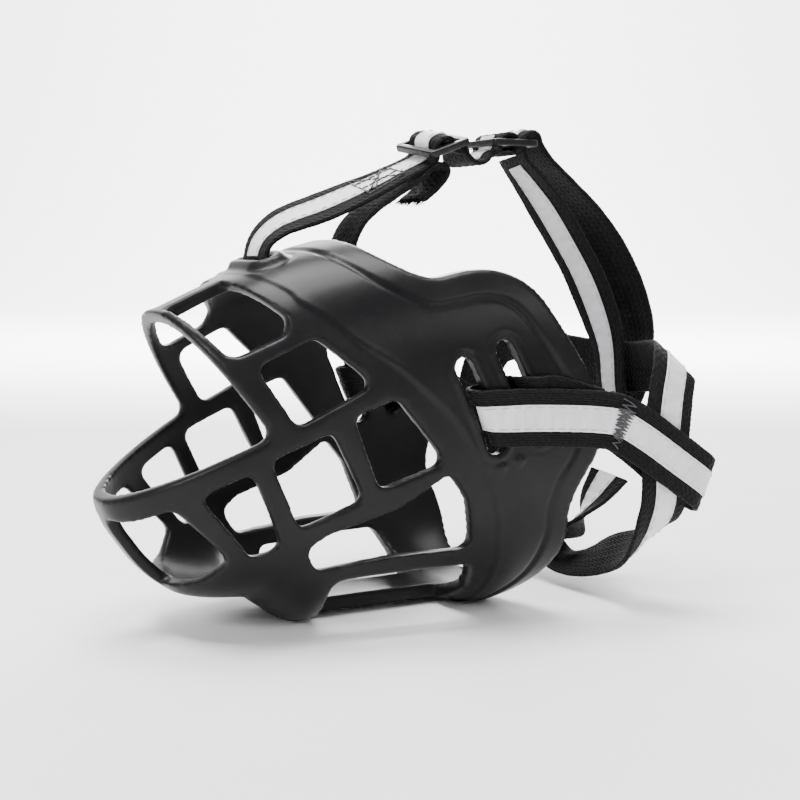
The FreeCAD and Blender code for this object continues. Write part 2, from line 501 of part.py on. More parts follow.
def make_socket():
    """Hollow socket with open sides for the prongs and a bar for the sewn end of the webbing."""
    half = BUCKLE_THICK / 2.0
    low, high = BUCKLE_MIDDLE_Z - half, BUCKLE_MIDDLE_Z + half
    inside_low, inside_high = (BUCKLE_MIDDLE_Z + end * SOCKET_INSIDE[1] / 2.0 for end in (-1, 1))
    body_end = SOCKET_START + SOCKET_BODY
    body = centred_box(SOCKET_START, body_end, BUCKLE_WIDTH, low, high)
    inside = centred_box(SOCKET_START - 1, SOCKET_START + SOCKET_DEPTH, SOCKET_INSIDE[0], inside_low, inside_high)
    side_openings = centred_box(SOCKET_START + BARB_START - 0.2, SOCKET_START + SIDE_OPENING_END,
                                BUCKLE_WIDTH + 2, inside_low, inside_high)
    tail = centred_box(body_end - 0.1, SOCKET_END, BUCKLE_WIDTH - 1.0, BUCKLE_MIDDLE_Z - SOCKET_TAIL_HALF,
                       BUCKLE_MIDDLE_Z + SOCKET_TAIL_HALF)
    tail = tail.cut(centred_box(body_end + 0.6, SOCKET_END - 2 * BAR_HALF, BUCKLE_WINDOW, low, high))
    socket = body.cut([inside, side_openings]).fuse(tail)
    return place_on_collar(socket.removeSplitter())


def stitch_box(stations, index, side, along, across):
    """Box with a cross, sewn on the face of a strap around one of its stations."""
    place, slope, wide = smooth_stations(stations, PIECES)[index * PIECES]
    out = slope.cross(wide) * side
    base = place + out * (WEB_THICK / 2.0 + TAPE_THICK + STITCH_GAP)
    corners = [(-along, -across), (along, -across), (along, across), (-along, across)]
    lines = [(corners[i], corners[(i + 1) % 4]) for i in range(4)] + [(corners[0], corners[2]),
                                                                      (corners[1], corners[3])]
    thread = None
    for (a, b), (c, d) in lines:
        start = base + slope * a + wide * b
        end = base + slope * c + wide * d
        run = end - start
        length = run.Length
        run.normalize()
        cross = out.cross(run) * (THREAD / 2.0)
        start = start - run * (THREAD / 2.0)
        face = Part.Face(Part.makePolygon([start - cross, start + cross, start + cross + out * THREAD,
                                           start - cross + out * THREAD, start - cross]))
        bar = face.extrude(run * (length + THREAD))
        thread = bar if thread is None else thread.fuse(bar)
    return thread.removeSplitter()


# ---------------------------------------------------------------- the whole object
def make_shapes():
    left_cheek, right_cheek = cheek_strap(-1), cheek_strap(1)
    shapes = {
        "muzzle_basket": make_basket(),
        "head_strap": strap(HEAD_STRAP),
        "head_strap_tape": tape(HEAD_STRAP, 1, HEAD_TAPE_SPAN),
        "neck_loop": strap(NECK_LOOP),
        "neck_loop_tape": tape(NECK_LOOP, 1, NECK_TAPE_SPAN),
        "front_slider": make_glide(FRONT_GLIDE, GLIDE_PITCH),
        "rear_slider": make_glide(REAR_GLIDE, REAR_GLIDE_PITCH),
        "left_cheek_strap": strap(left_cheek),
        "left_cheek_tape": tape(left_cheek, -1, CHEEK_TAPE_SPAN),
        "right_cheek_strap": strap(right_cheek),
        "right_cheek_tape": tape(right_cheek, 1, CHEEK_TAPE_SPAN),
        "collar": strap(COLLAR),
        "collar_tape": tape(COLLAR, -1, COLLAR_TAPE_SPAN),
        "buckle_plug": make_plug(),
        "buckle_prong_front": make_prong(1),
        "buckle_prong_rear": make_prong(-1),
        "buckle_socket": make_socket(),
        "head_strap_stitching": stitch_box(HEAD_STRAP, HEAD_STITCH, 1, 5.0, 4.6),
        "left_cheek_stitching": stitch_box(left_cheek, CHEEK_STITCH, -1, 1.6, 5.0),
        "right_cheek_stitching": stitch_box(right_cheek, CHEEK_STITCH, 1, 1.6, 5.0),
        "collar_stitching": stitch_box(COLLAR, COLLAR_STITCH, -1, 1.2, 5.0),
    }
    whole = Part.Compound(list(shapes.values())).optimalBoundingBox()
    shift = Vector(-(whole.XMin + whole.XMax) / 2.0, 0.0, -whole.ZMin)
    for shape in shapes.values():
        shape.translate(shift)
    print("shift", shift)
    for point in (Vector(FRONT_GLIDE[0], 0, FRONT_GLIDE[1]), Vector(REAR_GLIDE[0], 0, REAR_GLIDE[1]),
                  prong_root(1), prong_root(-1)):
        print("joint point", point + shift)
    return shapes


def main():
    os.makedirs("parts", exist_ok=True)
    for name, shape in make_shapes().items():
        print(name, shape.isValid(), len(shape.Solids), round(shape.Volume, 1), shape.BoundBox)
        shape.exportStep("parts/" + name + ".step")


main()
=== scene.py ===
import json
import math
import random

import bpy
import numpy as np
from mathutils import Matrix, Vector


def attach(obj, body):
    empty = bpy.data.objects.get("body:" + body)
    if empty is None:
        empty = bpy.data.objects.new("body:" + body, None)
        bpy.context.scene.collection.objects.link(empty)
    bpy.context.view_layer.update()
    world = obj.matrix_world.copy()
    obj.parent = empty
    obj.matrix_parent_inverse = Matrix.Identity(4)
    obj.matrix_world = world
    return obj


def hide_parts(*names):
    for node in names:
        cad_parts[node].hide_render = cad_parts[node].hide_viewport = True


# The looks of a basket muzzle: a moulded rubber basket on woven webbing with reflective tape.
# Lengths are millimetres in the muzzle's own directions (X to the neck, Y to the dog's right, Z up) and are
# turned into the frame's metres by spot().

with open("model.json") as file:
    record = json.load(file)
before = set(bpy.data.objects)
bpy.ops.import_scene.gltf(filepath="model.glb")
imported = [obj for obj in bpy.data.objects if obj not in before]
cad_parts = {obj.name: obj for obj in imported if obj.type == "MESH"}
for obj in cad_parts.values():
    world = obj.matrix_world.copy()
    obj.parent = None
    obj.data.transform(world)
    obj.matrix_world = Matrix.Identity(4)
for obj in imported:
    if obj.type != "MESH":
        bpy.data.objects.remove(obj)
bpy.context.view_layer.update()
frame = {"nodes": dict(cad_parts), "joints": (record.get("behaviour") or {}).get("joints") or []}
MM = 0.001
FRONT_GLIDE = (8.6, 108.0, 20.0, 10.0)       # x, z, then slope and roll in degrees of the front slider
REAR_GLIDE = (26.3, 108.6, 0.0, 0.0)
pivots = {joint["name"]: Vector(joint["pos_m"]) for joint in frame["joints"]}
SHIFT = pivots["front_slider_rock"] - Vector((FRONT_GLIDE[0], 0.0, FRONT_GLIDE[1])) * MM


def spot(x, y, z):
    """A place in the frame, in metres."""
    return Vector((x, y, z)) * MM + SHIFT


# ---------------------------------------------------------------- helpers for modelling
def clear_selection():
    if bpy.context.object and bpy.context.object.mode != "OBJECT":
        bpy.ops.object.mode_set(mode="OBJECT")
    bpy.ops.object.select_all(action="DESELECT")


def pick(piece):
    clear_selection()
    piece.select_set(True)
    bpy.context.view_layer.objects.active = piece


def apply_modifier(piece, kind, **settings):
    pick(piece)
    bpy.ops.object.modifier_add(type=kind)
    modifier = piece.modifiers[-1]
    for key, value in settings.items():
        setattr(modifier, key, value)
    bpy.ops.object.modifier_apply(modifier=modifier.name)


def cut(piece, cutter, operation="DIFFERENCE"):
    apply_modifier(piece, "BOOLEAN", operation=operation, object=cutter, solver="MANIFOLD")
    bpy.data.objects.remove(cutter)


def set_places(piece, places):
    """Gives every vertex its place, in metres."""
    piece.matrix_world = Matrix.Identity(4)
    piece.data.vertices.foreach_set("co", np.asarray(places, np.float32).ravel())
    piece.data.update()


def get_places(piece):
    places = np.zeros(len(piece.data.vertices) * 3, np.float32)
    piece.data.vertices.foreach_get("co", places)
    return places.reshape(-1, 3).astype(float)


def get_normals(piece):
    normals = np.zeros(len(piece.data.vertices) * 3, np.float32)
    piece.data.vertex_normals.foreach_get("vector", normals)
    return normals.reshape(-1, 3).astype(float)


def face_outwards(piece):
    pick(piece)
    bpy.ops.object.mode_set(mode="EDIT")
    bpy.ops.mesh.select_all(action="SELECT")
    bpy.ops.mesh.normals_make_consistent(inside=False)
    bpy.ops.object.mode_set(mode="OBJECT")


def smooth_shade(piece, angle=None):
    pick(piece)
    if angle is None:
        bpy.ops.object.shade_smooth()
    else:
        bpy.ops.object.shade_smooth_by_angle(angle=math.radians(angle))


def settle(piece, name, material, slot, body, *nodes):
    """Names a finished piece, gives it its material and ties it to the frame."""
    piece.name = name
    piece.data.name = name
    piece.data.materials.clear()
    piece.data.materials.append(material)
    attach(piece, body)
    if nodes:
        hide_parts(*nodes)
    return piece


def smooth_step(value):
    t = np.clip(value, 0.0, 1.0)
    return t * t * (3.0 - 2.0 * t)


def hump(value):
    """1 at zero, falling smoothly to 0 at -1 and 1."""
    return smooth_step(1.0 - np.abs(value))


# ---------------------------------------------------------------- materials
def new_material(name):
    material = bpy.data.materials.new(name)
    material.use_nodes = True
    tree = material.node_tree
    return material, tree.nodes, tree.links, tree.nodes["Principled BSDF"]


def add_node(nodes, kind, **values):
    node = nodes.new(kind)
    for key, value in values.items():
        if key in node.inputs:
            node.inputs[key].default_value = value
        else:
            setattr(node, key, value)
    return node


def colour_ramp(nodes, links, source, low, high, start=0.3, end=0.7):
    ramp = add_node(nodes, "ShaderNodeValToRGB")
    ramp.color_ramp.elements[0].position = start
    ramp.color_ramp.elements[0].color = (*low, 1.0)
    ramp.color_ramp.elements[1].position = end
    ramp.color_ramp.elements[1].color = (*high, 1.0)
    links.new(source, ramp.inputs["Fac"])
    return ramp.outputs["Color"]


def range_of(nodes, links, source, low, high):
    node = add_node(nodes, "ShaderNodeMapRange")
    node.inputs["To Min"].default_value = low
    node.inputs["To Max"].default_value = high
    links.new(source, node.inputs["Value"])
    return node.outputs["Result"]


def noise_on(nodes, links, vector, scale, detail=4.0, roughness=0.55):
    node = add_node(nodes, "ShaderNodeTexNoise", Scale=scale, Detail=detail, Roughness=roughness)
    links.new(vector, node.inputs["Vector"])
    return node.outputs["Fac"]


def bands_on(nodes, links, vector, direction, scale, distortion):
    node = add_node(nodes, "ShaderNodeTexWave", wave_type="BANDS", bands_direction=direction, Scale=scale,
                    Distortion=distortion, Detail=2.0)
    links.new(vector, node.inputs["Vector"])
    return node.outputs["Fac"]


def bump_from(nodes, links, height, depth, strength, after=None):
    node = add_node(nodes, "ShaderNodeBump", Strength=strength, Distance=depth)
    links.new(height, node.inputs["Height"])
    if after:
        links.new(after, node.inputs["Normal"])
    return node.outputs["Normal"]


def moulded_rubber():
    """Satin black rubber: fine mould grain, shallow waves and a broad cloudiness."""
    material, nodes, links, shader = new_material("moulded_black_rubber")
    place = add_node(nodes, "ShaderNodeTexCoord").outputs["Object"]
    clouds = noise_on(nodes, links, place, 60.0, 5.0)
    grain = noise_on(nodes, links, place, 2600.0, 2.0)
    links.new(colour_ramp(nodes, links, clouds, (0.0062, 0.0062, 0.0070), (0.0105, 0.0102, 0.0110)),
              shader.inputs["Base Color"])
    links.new(range_of(nodes, links, clouds, 0.27, 0.38), shader.inputs["Roughness"])
    first = bump_from(nodes, links, grain, 0.00006, 0.35)
    waves = noise_on(nodes, links, place, 230.0, 3.0)
    links.new(bump_from(nodes, links, waves, 0.00025, 0.22, first), shader.inputs["Normal"])
    shader.inputs["Specular IOR Level"].default_value = 0.13
    return material


def woven_webbing():
    """Black nylon yarn: thin floats along the strap crossed by the pick lines."""
    material, nodes, links, shader = new_material("black_nylon_webbing")
    lay = add_node(nodes, "ShaderNodeUVMap", uv_map="UVMap").outputs["UV"]
    yarns = bands_on(nodes, links, lay, "X", 620.0, 1.2)
    picks = bands_on(nodes, links, lay, "DIAGONAL", 360.0, 2.0)
    fuzz = noise_on(nodes, links, lay, 1500.0, 4.0, 0.7)
    links.new(colour_ramp(nodes, links, fuzz, (0.0022, 0.0022, 0.0025), (0.0110, 0.0110, 0.0120), 0.35, 0.8),
              shader.inputs["Base Color"])
    links.new(range_of(nodes, links, fuzz, 0.55, 0.85), shader.inputs["Roughness"])
    first = bump_from(nodes, links, yarns, 0.00025, 0.6)
    second = bump_from(nodes, links, picks, 0.00022, 0.5, first)
    links.new(bump_from(nodes, links, fuzz, 0.00015, 0.4, second), shader.inputs["Normal"])
    shader.inputs["Sheen Weight"].default_value = 0.02
    shader.inputs["Sheen Roughness"].default_value = 0.4
    shader.inputs["Specular IOR Level"].default_value = 0.12
    return material


def grey_tape():
    """Pale reflective tape: a fine weave under a soft silvery face, and faint creases with painted shade in
    them.
    """
    material, nodes, links, shader = new_material("grey_reflective_tape")
    lay = add_node(nodes, "ShaderNodeUVMap", uv_map="UVMap").outputs["UV"]
    cloth = bands_on(nodes, links, lay, "Y", 1100.0, 0.8)
    stretch = add_node(nodes, "ShaderNodeMapping")
    stretch.inputs["Scale"].default_value = (1.0, 3.5, 1.0)
    links.new(lay, stretch.inputs["Vector"])
    creases = noise_on(nodes, links, stretch.outputs["Vector"], 160.0, 6.0, 0.62)
    beads = noise_on(nodes, links, lay, 3800.0, 2.0)
    # The grey follows the crease noise that also drives the bump: painted shade in the crease hollows and
    # painted highlight on their crests, over the tape's own pale grey.
    links.new(colour_ramp(nodes, links, creases, (0.60, 0.59, 0.62), (0.80, 0.79, 0.82), 0.3, 0.75),
              shader.inputs["Base Color"])
    links.new(range_of(nodes, links, beads, 0.38, 0.6), shader.inputs["Roughness"])
    first = bump_from(nodes, links, cloth, 0.00006, 0.3)
    links.new(bump_from(nodes, links, creases, 0.0005, 0.35, first), shader.inputs["Normal"])
    shader.inputs["Sheen Weight"].default_value = 0.15
    return material


def moulded_plastic(name):
    """Hard black plastic with a slightly polished skin and fine scuffs."""
    material, nodes, links, shader = new_material(name)
    place = add_node(nodes, "ShaderNodeTexCoord").outputs["Object"]
    skin = noise_on(nodes, links, place, 420.0, 4.0)
    grain = noise_on(nodes, links, place, 4200.0, 2.0)
    links.new(colour_ramp(nodes, links, skin, (0.006, 0.006, 0.0065), (0.011, 0.0105, 0.011)),
              shader.inputs["Base Color"])
    links.new(range_of(nodes, links, skin, 0.22, 0.36), shader.inputs["Roughness"])
    links.new(bump_from(nodes, links, grain, 0.00005, 0.25), shader.inputs["Normal"])
    shader.inputs["Specular IOR Level"].default_value = 0.2
    return material


def sewing_thread(name, low, high):
    """Twisted thread: fine diagonal plies along each stitch, with painted shade in the grooves between them.
    """
    material, nodes, links, shader = new_material(name)
    place = add_node(nodes, "ShaderNodeTexCoord").outputs["Object"]
    plies = bands_on(nodes, links, place, "DIAGONAL", 1600.0, 1.0)
    # The colour follows the ply bands that also drive the bump: painted highlight on the ply crests and
    # painted shade in the grooves, over the thread's own colour.
    links.new(colour_ramp(nodes, links, plies, low, high, 0.2, 0.8), shader.inputs["Base Color"])
    links.new(bump_from(nodes, links, plies, 0.00008, 0.6), shader.inputs["Normal"])
    shader.inputs["Roughness"].default_value = 0.6
    return material


RUBBER = moulded_rubber()
WEBBING = woven_webbing()
TAPE = grey_tape()
SLIDER_PLASTIC = moulded_plastic("slider_plastic")
BUCKLE_PLASTIC = moulded_plastic("buckle_plastic")
# Each thread's two tones are its own colour under painted shade in the ply grooves and under painted
# highlight on the ply crests.
DARK_THREAD = sewing_thread("dark_thread", (0.020, 0.020, 0.022), (0.07, 0.07, 0.075))
PALE_THREAD = sewing_thread("pale_thread", (0.36, 0.355, 0.37), (0.56, 0.555, 0.57))

# ---------------------------------------------------------------- the basket's outline
WALL = 3.0
NOSE_TIP_X = -73.2
REAR_X = 36.0              # the blank cup runs a little past the rear rim
RIB_HALF = 3.2             # half width of the top and chin ribs
FLOOR_RIB_HALF = 7.0
FOOT_Z = 0.6               # the chin and the rear bump are flat below this height
FAR_SIDE = 60.0            # cutters run from this far on one side to this far on the other
VOXEL = 0.56
DETAIL_ROWS = 120          # rings of the blank cup along the muzzle, and points round each
DETAIL_ROUND = 144
NOTCH = (-43.8, 45.5)
NOTCH_RADIUS = 2.5
LIP_SLOPE = 0.5
RIM_TOP = (-61.2, 71.5)
CHEEK_SLOT_HALF = 2.3
FRONT_SLOT = ((-2.2, 58.5), (5.2, 41.6))
REAR_SLOT = ((7.4, 62.0), (15.4, 43.6))
TOP_SLOT_X = -35.6
TOP_SLOT_SIZE = (4.6, 14.4)
TOP_LIP_SIZE = (10.0, 20.5)
TOP_LIP_HEIGHT = 1.4

MIDDLE_Z = [(-73.2, 30.8), (-60.0, 37.4), (-45.0, 42.4), (-20.0, 45.4), (36.0, 47.4)]
TOP_Z = [(-60.5, 70.3), (-46.0, 76.7), (-35.5, 80.8), (-17.5, 85.7), (0.0, 90.4), (36.0, 97.0)]
BOTTOM_Z = [(-73.2, 30.8), (-71.6, 25.6), (-68.5, 20.6), (-64.9, 15.8), (-60.5, 11.7), (-56.0, 8.9),
            (-50.0, 7.6), (-42.0, 6.9), (-37.0, 3.6), (-30.5, 0.0), (-23.0, 1.4), (4.0, 1.5), (13.0, 0.0),
            (22.0, 1.6), (36.0, 3.0)]
WIDTH_AT_REAR = 38.0       # half width at WIDTH_X
WIDTH_X = 31.0
WIDTH_SLOPE = 0.12         # gain in half width per millimetre towards the rear
NOSE_LENGTH = 37.0
NOSE_TOP_LENGTH = 12.7
TOP_ROUND = 2.7            # superellipse exponents of the upper and lower half of a section
BOTTOM_ROUND = 2.3
SHELL_RADIUS = (32.0, 38.0, 40.0)            # usual half width, rise and drop of a section, for the wall

# (x, z) outline, corner radius and half width of the rib that divides the left window from the right one
WINDOWS = [([(-46.6, 59.6), (-34.0, 65.4), (-22.0, 55.3), (-39.0, 47.1)], 2.6, 0.0),
           ([(-27.0, 48.9), (-17.2, 52.4), (-5.9, 38.3), (-21.0, 33.1)], 2.6, 0.0),
           ([(-44.5, 40.5), (-31.4, 46.0), (-24.0, 31.3), (-37.9, 25.6)], 2.4, 0.0),
           ([(-57.6, 33.1), (-47.9, 38.2), (-40.7, 21.5), (-46.6, 19.4)], 2.4, 0.0),
           ([(-35.8, 21.0), (-31.5, 24.0), (-16.4, 28.6), (-5.0, 35.9), (-0.4, 29.8), (2.9, 18.0),
             (-14.5, 17.7), (-32.9, 15.8)], 2.4, 0.0),
           ([(-62.5, 76.0), (-58.4, 70.9), (-55.6, 67.3), (-51.4, 61.9), (-49.4, 61.6), (-39.8, 66.0),
             (-38.6, 69.2), (-46.6, 77.4), (-52.0, 82.0)], 1.6, RIB_HALF),
           ([(-78.0, 26.2), (-69.0, 27.0), (-62.0, 30.4), (-50.6, 19.0), (-55.0, 14.2), (-62.0, 11.6),
             (-70.0, 10.0), (-78.0, 14.0)], 2.4, RIB_HALF),
           ([(-28.6, 12.6), (-14.0, 13.4), (4.4, 13.8), (6.4, 8.0), (4.0, -6.0), (-24.0, -6.0),
             (-27.8, 5.0)], 3.0, FLOOR_RIB_HALF)]
REAR_RIM = [(-20.6, 93.0), (-18.6, 84.6), (-13.2, 79.6), (-6.5, 77.0), (2.0, 78.5), (9.0, 78.3), (15.5, 74.8),
            (21.0, 66.6), (26.6, 57.2), (30.6, 49.0), (30.2, 40.6), (25.6, 31.0), (24.6, 25.0), (25.8, 17.0),
            (23.6, 9.5), (19.0, 2.0), (17.0, -6.0)]
# where the raised band starts, from the nose bridge down to the floor, and the groove inside the rear rim
BAND_LINE = [(-46.0, 81.0), (-37.6, 75.1), (-35.7, 72.5), (-30.6, 69.0), (-25.1, 63.8), (-16.9, 58.5),
             (-10.4, 52.8), (-5.9, 48.6), (-1.2, 41.9), (2.7, 35.1), (5.9, 28.2), (8.2, 19.7), (9.5, 13.2),
             (10.0, 4.0), (10.2, -3.0)]
GROOVE_LINE = [(-32.0, 87.0), (-25.0, 81.7), (-18.2, 76.1), (-10.7, 72.1), (-6.4, 71.4), (4.1, 73.0),
               (10.6, 71.0), (15.7, 64.4), (21.4, 55.6), (24.6, 47.5), (24.1, 39.5), (20.6, 33.0),
               (19.2, 26.0), (20.0, 20.0), (18.8, 10.3), (14.6, 3.0), (13.4, -4.0)]
SIZE_PIPS = [(6.4, 36.6), (10.6, 37.8)]


def smooth_line(points, pieces):
    """A Catmull-Rom line through rows of numbers, as an array."""
    rows = np.asarray(points, float)
    rows = np.vstack([2 * rows[0] - rows[1], rows, 2 * rows[-1] - rows[-2]])
    result = []
    for i in range(1, len(rows) - 2):
        for k in range(pieces):
            t = k / pieces
            result.append(0.5 * ((2 * rows[i]) + (rows[i + 1] - rows[i - 1]) * t
                                 + (2 * rows[i - 1] - 5 * rows[i] + 4 * rows[i + 1] - rows[i + 2]) * t ** 2
                                 + (3 * rows[i] - rows[i - 1] - 3 * rows[i + 1] + rows[i + 2]) * t ** 3))
    result.append(rows[-2])
    return np.array(result)


def smooth_value(points, x):
    """Value at x of a monotone cubic through the points."""
    if x <= points[0][0]:
        return points[0][1]
    if x >= points[-1][0]:
        return points[-1][1]
    steps = [points[i + 1][0] - points[i][0] for i in range(len(points) - 1)]
    slopes = [(points[i + 1][1] - points[i][1]) / steps[i] for i in range(len(steps))]
    tangents = [slopes[0]]
    for i in range(1, len(steps)):
        if slopes[i - 1] * slopes[i] <= 0:
            tangents.append(0.0)
            continue
        first, second = 2 * steps[i] + steps[i - 1], steps[i] + 2 * steps[i - 1]
        tangents.append((first + second) / (first / slopes[i - 1] + second / slopes[i]))
    tangents.append(slopes[-1])
    i = max(k for k in range(len(steps)) if points[k][0] <= x)
    t = (x - points[i][0]) / steps[i]
    return (points[i][1] * (2 * t ** 3 - 3 * t ** 2 + 1) + tangents[i] * steps[i] * (t ** 3 - 2 * t ** 2 + t)
            + points[i + 1][1] * (3 * t ** 2 - 2 * t ** 3) + tangents[i + 1] * steps[i] * (t ** 3 - t ** 2))


def half_width(x):
    straight = WIDTH_AT_REAR + WIDTH_SLOPE * (x - WIDTH_X)
    into_nose = max(NOSE_LENGTH - (x - NOSE_TIP_X), 0.0) / NOSE_LENGTH
    return straight * math.sqrt(max(1.0 - into_nose ** 2, 0.0))


def top_height(x):
    middle = smooth_value(MIDDLE_Z, x)
    rise = smooth_value(TOP_Z, x) - middle
    if x < TOP_Z[0][0]:
        rise *= math.sqrt(max(1.0 - ((TOP_Z[0][0] - x) / NOSE_TOP_LENGTH) ** 2, 0.0))
    return middle + rise


def shell(inset):
    """A sphere stretched into the closed cup: its rings become sections along X."""
    bpy.ops.mesh.primitive_uv_sphere_add(segments=DETAIL_ROUND, ring_count=DETAIL_ROWS)
    piece = bpy.context.object
    nose_end = NOSE_TIP_X + NOSE_LENGTH
    front = NOSE_TIP_X + inset
    half = 0.5             # share of the rings that lie in the rounded nose
    places = []
    for vertex in piece.data.vertices:
        far = math.acos(max(-1.0, min(1.0, vertex.co.z))) / math.pi          # 0 at the nose, 1 at the rear
        turn = math.atan2(vertex.co.y, vertex.co.x)
        step = round(far * DETAIL_ROWS)
        if step in (0, DETAIL_ROWS):
            x = front if step == 0 else REAR_X + inset
            source = NOSE_TIP_X if step == 0 else REAR_X
            places.append(spot(x, 0.0, smooth_value(MIDDLE_Z, source)))
            continue
        along = step / (DETAIL_ROWS - 1)
        if along < half:
            x = front + (nose_end - front) * (along / half) ** 2
        else:
            x = nose_end + (REAR_X + inset - nose_end) * (along - half) / half
        source = x if x >= nose_end else nose_end - (nose_end - x) * NOSE_LENGTH / (NOSE_LENGTH - inset)
        middle = smooth_value(MIDDLE_Z, source)
        c, s = math.cos(turn), math.sin(turn)
        power = 2.0 / (TOP_ROUND if s >= 0 else BOTTOM_ROUND)
        reach = (top_height(source) - middle if s >= 0 else middle - smooth_value(BOTTOM_Z, source))
        reach *= 1.0 - inset / (SHELL_RADIUS[1] if s >= 0 else SHELL_RADIUS[2])
        y = half_width(source) * (1.0 - inset / SHELL_RADIUS[0]) * math.copysign(abs(c) ** power, c)
        places.append(spot(x, y, middle + reach * math.copysign(abs(s) ** power, s)))
    set_places(piece, places)
    face_outwards(piece)
    return piece


def rounded_outline(points, radius, steps=6):
    """(x, z) points of a polygon with its corners rounded."""
    result = []
    corners = [Vector(point) for point in points]
    for i, here in enumerate(corners):
        back = corners[i - 1] - here
        ahead = corners[(i + 1) % len(corners)] - here
        angle = back.angle(ahead)
        if angle > math.radians(176.0):
            result.append(here)
            continue
        reach = min(radius / math.tan(angle / 2.0), 0.47 * back.length, 0.47 * ahead.length)
        start, end = here + back.normalized() * reach, here + ahead.normalized() * reach
        for k in range(steps + 1):
            t = k / steps
            result.append(start * (1 - t) ** 2 + here * 2 * t * (1 - t) + end * t ** 2)
    return result


def prism(outline, low, high):
    """A flat disc moved to the (x, z) outline and extruded along Y."""
    clear_selection()
    bpy.ops.mesh.primitive_circle_add(vertices=len(outline), fill_type="NGON")
    piece = bpy.context.object
    set_places(piece, [spot(x, low, z) for x, z in outline])
    bpy.ops.object.mode_set(mode="EDIT")
    bpy.ops.mesh.select_all(action="SELECT")
    bpy.ops.mesh.extrude_region_move(TRANSFORM_OT_translate={"value": (0.0, (high - low) * MM, 0.0)})
    bpy.ops.object.mode_set(mode="OBJECT")
    face_outwards(piece)
    return piece


def slot_outline(ends, half, steps=8):
    a, b = Vector(ends[0]), Vector(ends[1])
    lean = math.atan2((b - a).y, (b - a).x)
    result = []
    for middle, start in ((b, lean - math.pi / 2), (a, lean + math.pi / 2)):
        for k in range(steps + 1):
            turn = start + math.pi * k / steps
            result.append(middle + Vector((math.cos(turn), math.sin(turn))) * half)
    return result


def opening_outline():
    """Everything in front of the upper rim and above the lip."""
    far_x, high = -95.0, 120.0
    rise = (RIM_TOP[0] - NOTCH[0]) / (RIM_TOP[1] - NOTCH[1])
    return rounded_outline([NOTCH, (far_x, NOTCH[1] + (far_x - NOTCH[0]) * LIP_SLOPE), (far_x, high),
                            (NOTCH[0] + (high - NOTCH[1]) * rise, high)], NOTCH_RADIUS)


def rear_outline():
    curve = [Vector(row) for row in smooth_line(REAR_RIM, 6)]
    return curve + [Vector((60.0, REAR_RIM[-1][1])), Vector((60.0, 120.0)), Vector((REAR_RIM[0][0], 120.0))]


def line_distance(x, z, line):
    """Distance of points to a line in (x, z) that runs down; it is positive on the side towards the rear."""
    best = np.full(len(x), 1e9)
    side = np.zeros(len(x))
    for (ax, az), (bx, bz) in zip(line[:-1], line[1:]):
        dx, dz = bx - ax, bz - az
        t = np.clip(((x - ax) * dx + (z - az) * dz) / (dx * dx + dz * dz), 0.0, 1.0)
        px, pz = x - ax - t * dx, z - az - t * dz
        away = np.hypot(px, pz)
        closer = away < best
        best = np.where(closer, away, best)
        side = np.where(closer, np.sign(dx * pz - dz * px), side)
    return best * side


def basket():
    """The moulded cup, cut by its windows and slots, rounded all over and given its raised details."""
    piece = shell(0.0)
    clear_selection()
    inner = shell(WALL)
    cut(piece, inner)
    cutters = [(opening_outline(), -FAR_SIDE, FAR_SIDE), (rear_outline(), -FAR_SIDE, FAR_SIDE)]
    for points, radius, half_rib in WINDOWS:
        outline = rounded_outline(points, radius)
        if half_rib:
            cutters += [(outline, half_rib, FAR_SIDE), (outline, -FAR_SIDE, -half_rib)]
        else:
            cutters.append((outline, -FAR_SIDE, FAR_SIDE))
    cutters += [(slot_outline(ends, CHEEK_SLOT_HALF), -FAR_SIDE, FAR_SIDE)
                for ends in (FRONT_SLOT, REAR_SLOT)]
    cutters.append(([(-100.0, FOOT_Z), (60.0, FOOT_Z), (60.0, -20.0), (-100.0, -20.0)], -40.0, 40.0))
    for outline, low, high in cutters:
        cut(piece, prism(outline, low, high))
    clear_selection()
    bpy.ops.mesh.primitive_cylinder_add(vertices=64, radius=1.0, depth=1.0)
    slot = bpy.context.object
    round_end = 4.0
    places = []
    for vertex in slot.data.vertices:
        turn = math.atan2(vertex.co.y, vertex.co.x)
        c, s = math.cos(turn), math.sin(turn)
        x = TOP_SLOT_X + TOP_SLOT_SIZE[0] / 2 * math.copysign(abs(c) ** (2 / round_end), c)
        y = TOP_SLOT_SIZE[1] / 2 * math.copysign(abs(s) ** (2 / round_end), s)
        places.append(spot(x, y, 100.0 if vertex.co.z > 0 else 60.0))
    set_places(slot, places)
    face_outwards(slot)
    cut(piece, slot)
    apply_modifier(piece, "REMESH", mode="VOXEL", voxel_size=VOXEL * MM, adaptivity=0.0)
    apply_modifier(piece, "SMOOTH", factor=0.5, iterations=6)
    raise_details(piece)
    apply_modifier(piece, "SMOOTH", factor=0.35, iterations=2)
    smooth_shade(piece)
    return settle(piece, "rubber_basket", RUBBER, "basket_rubber", "muzzle", "muzzle_basket")


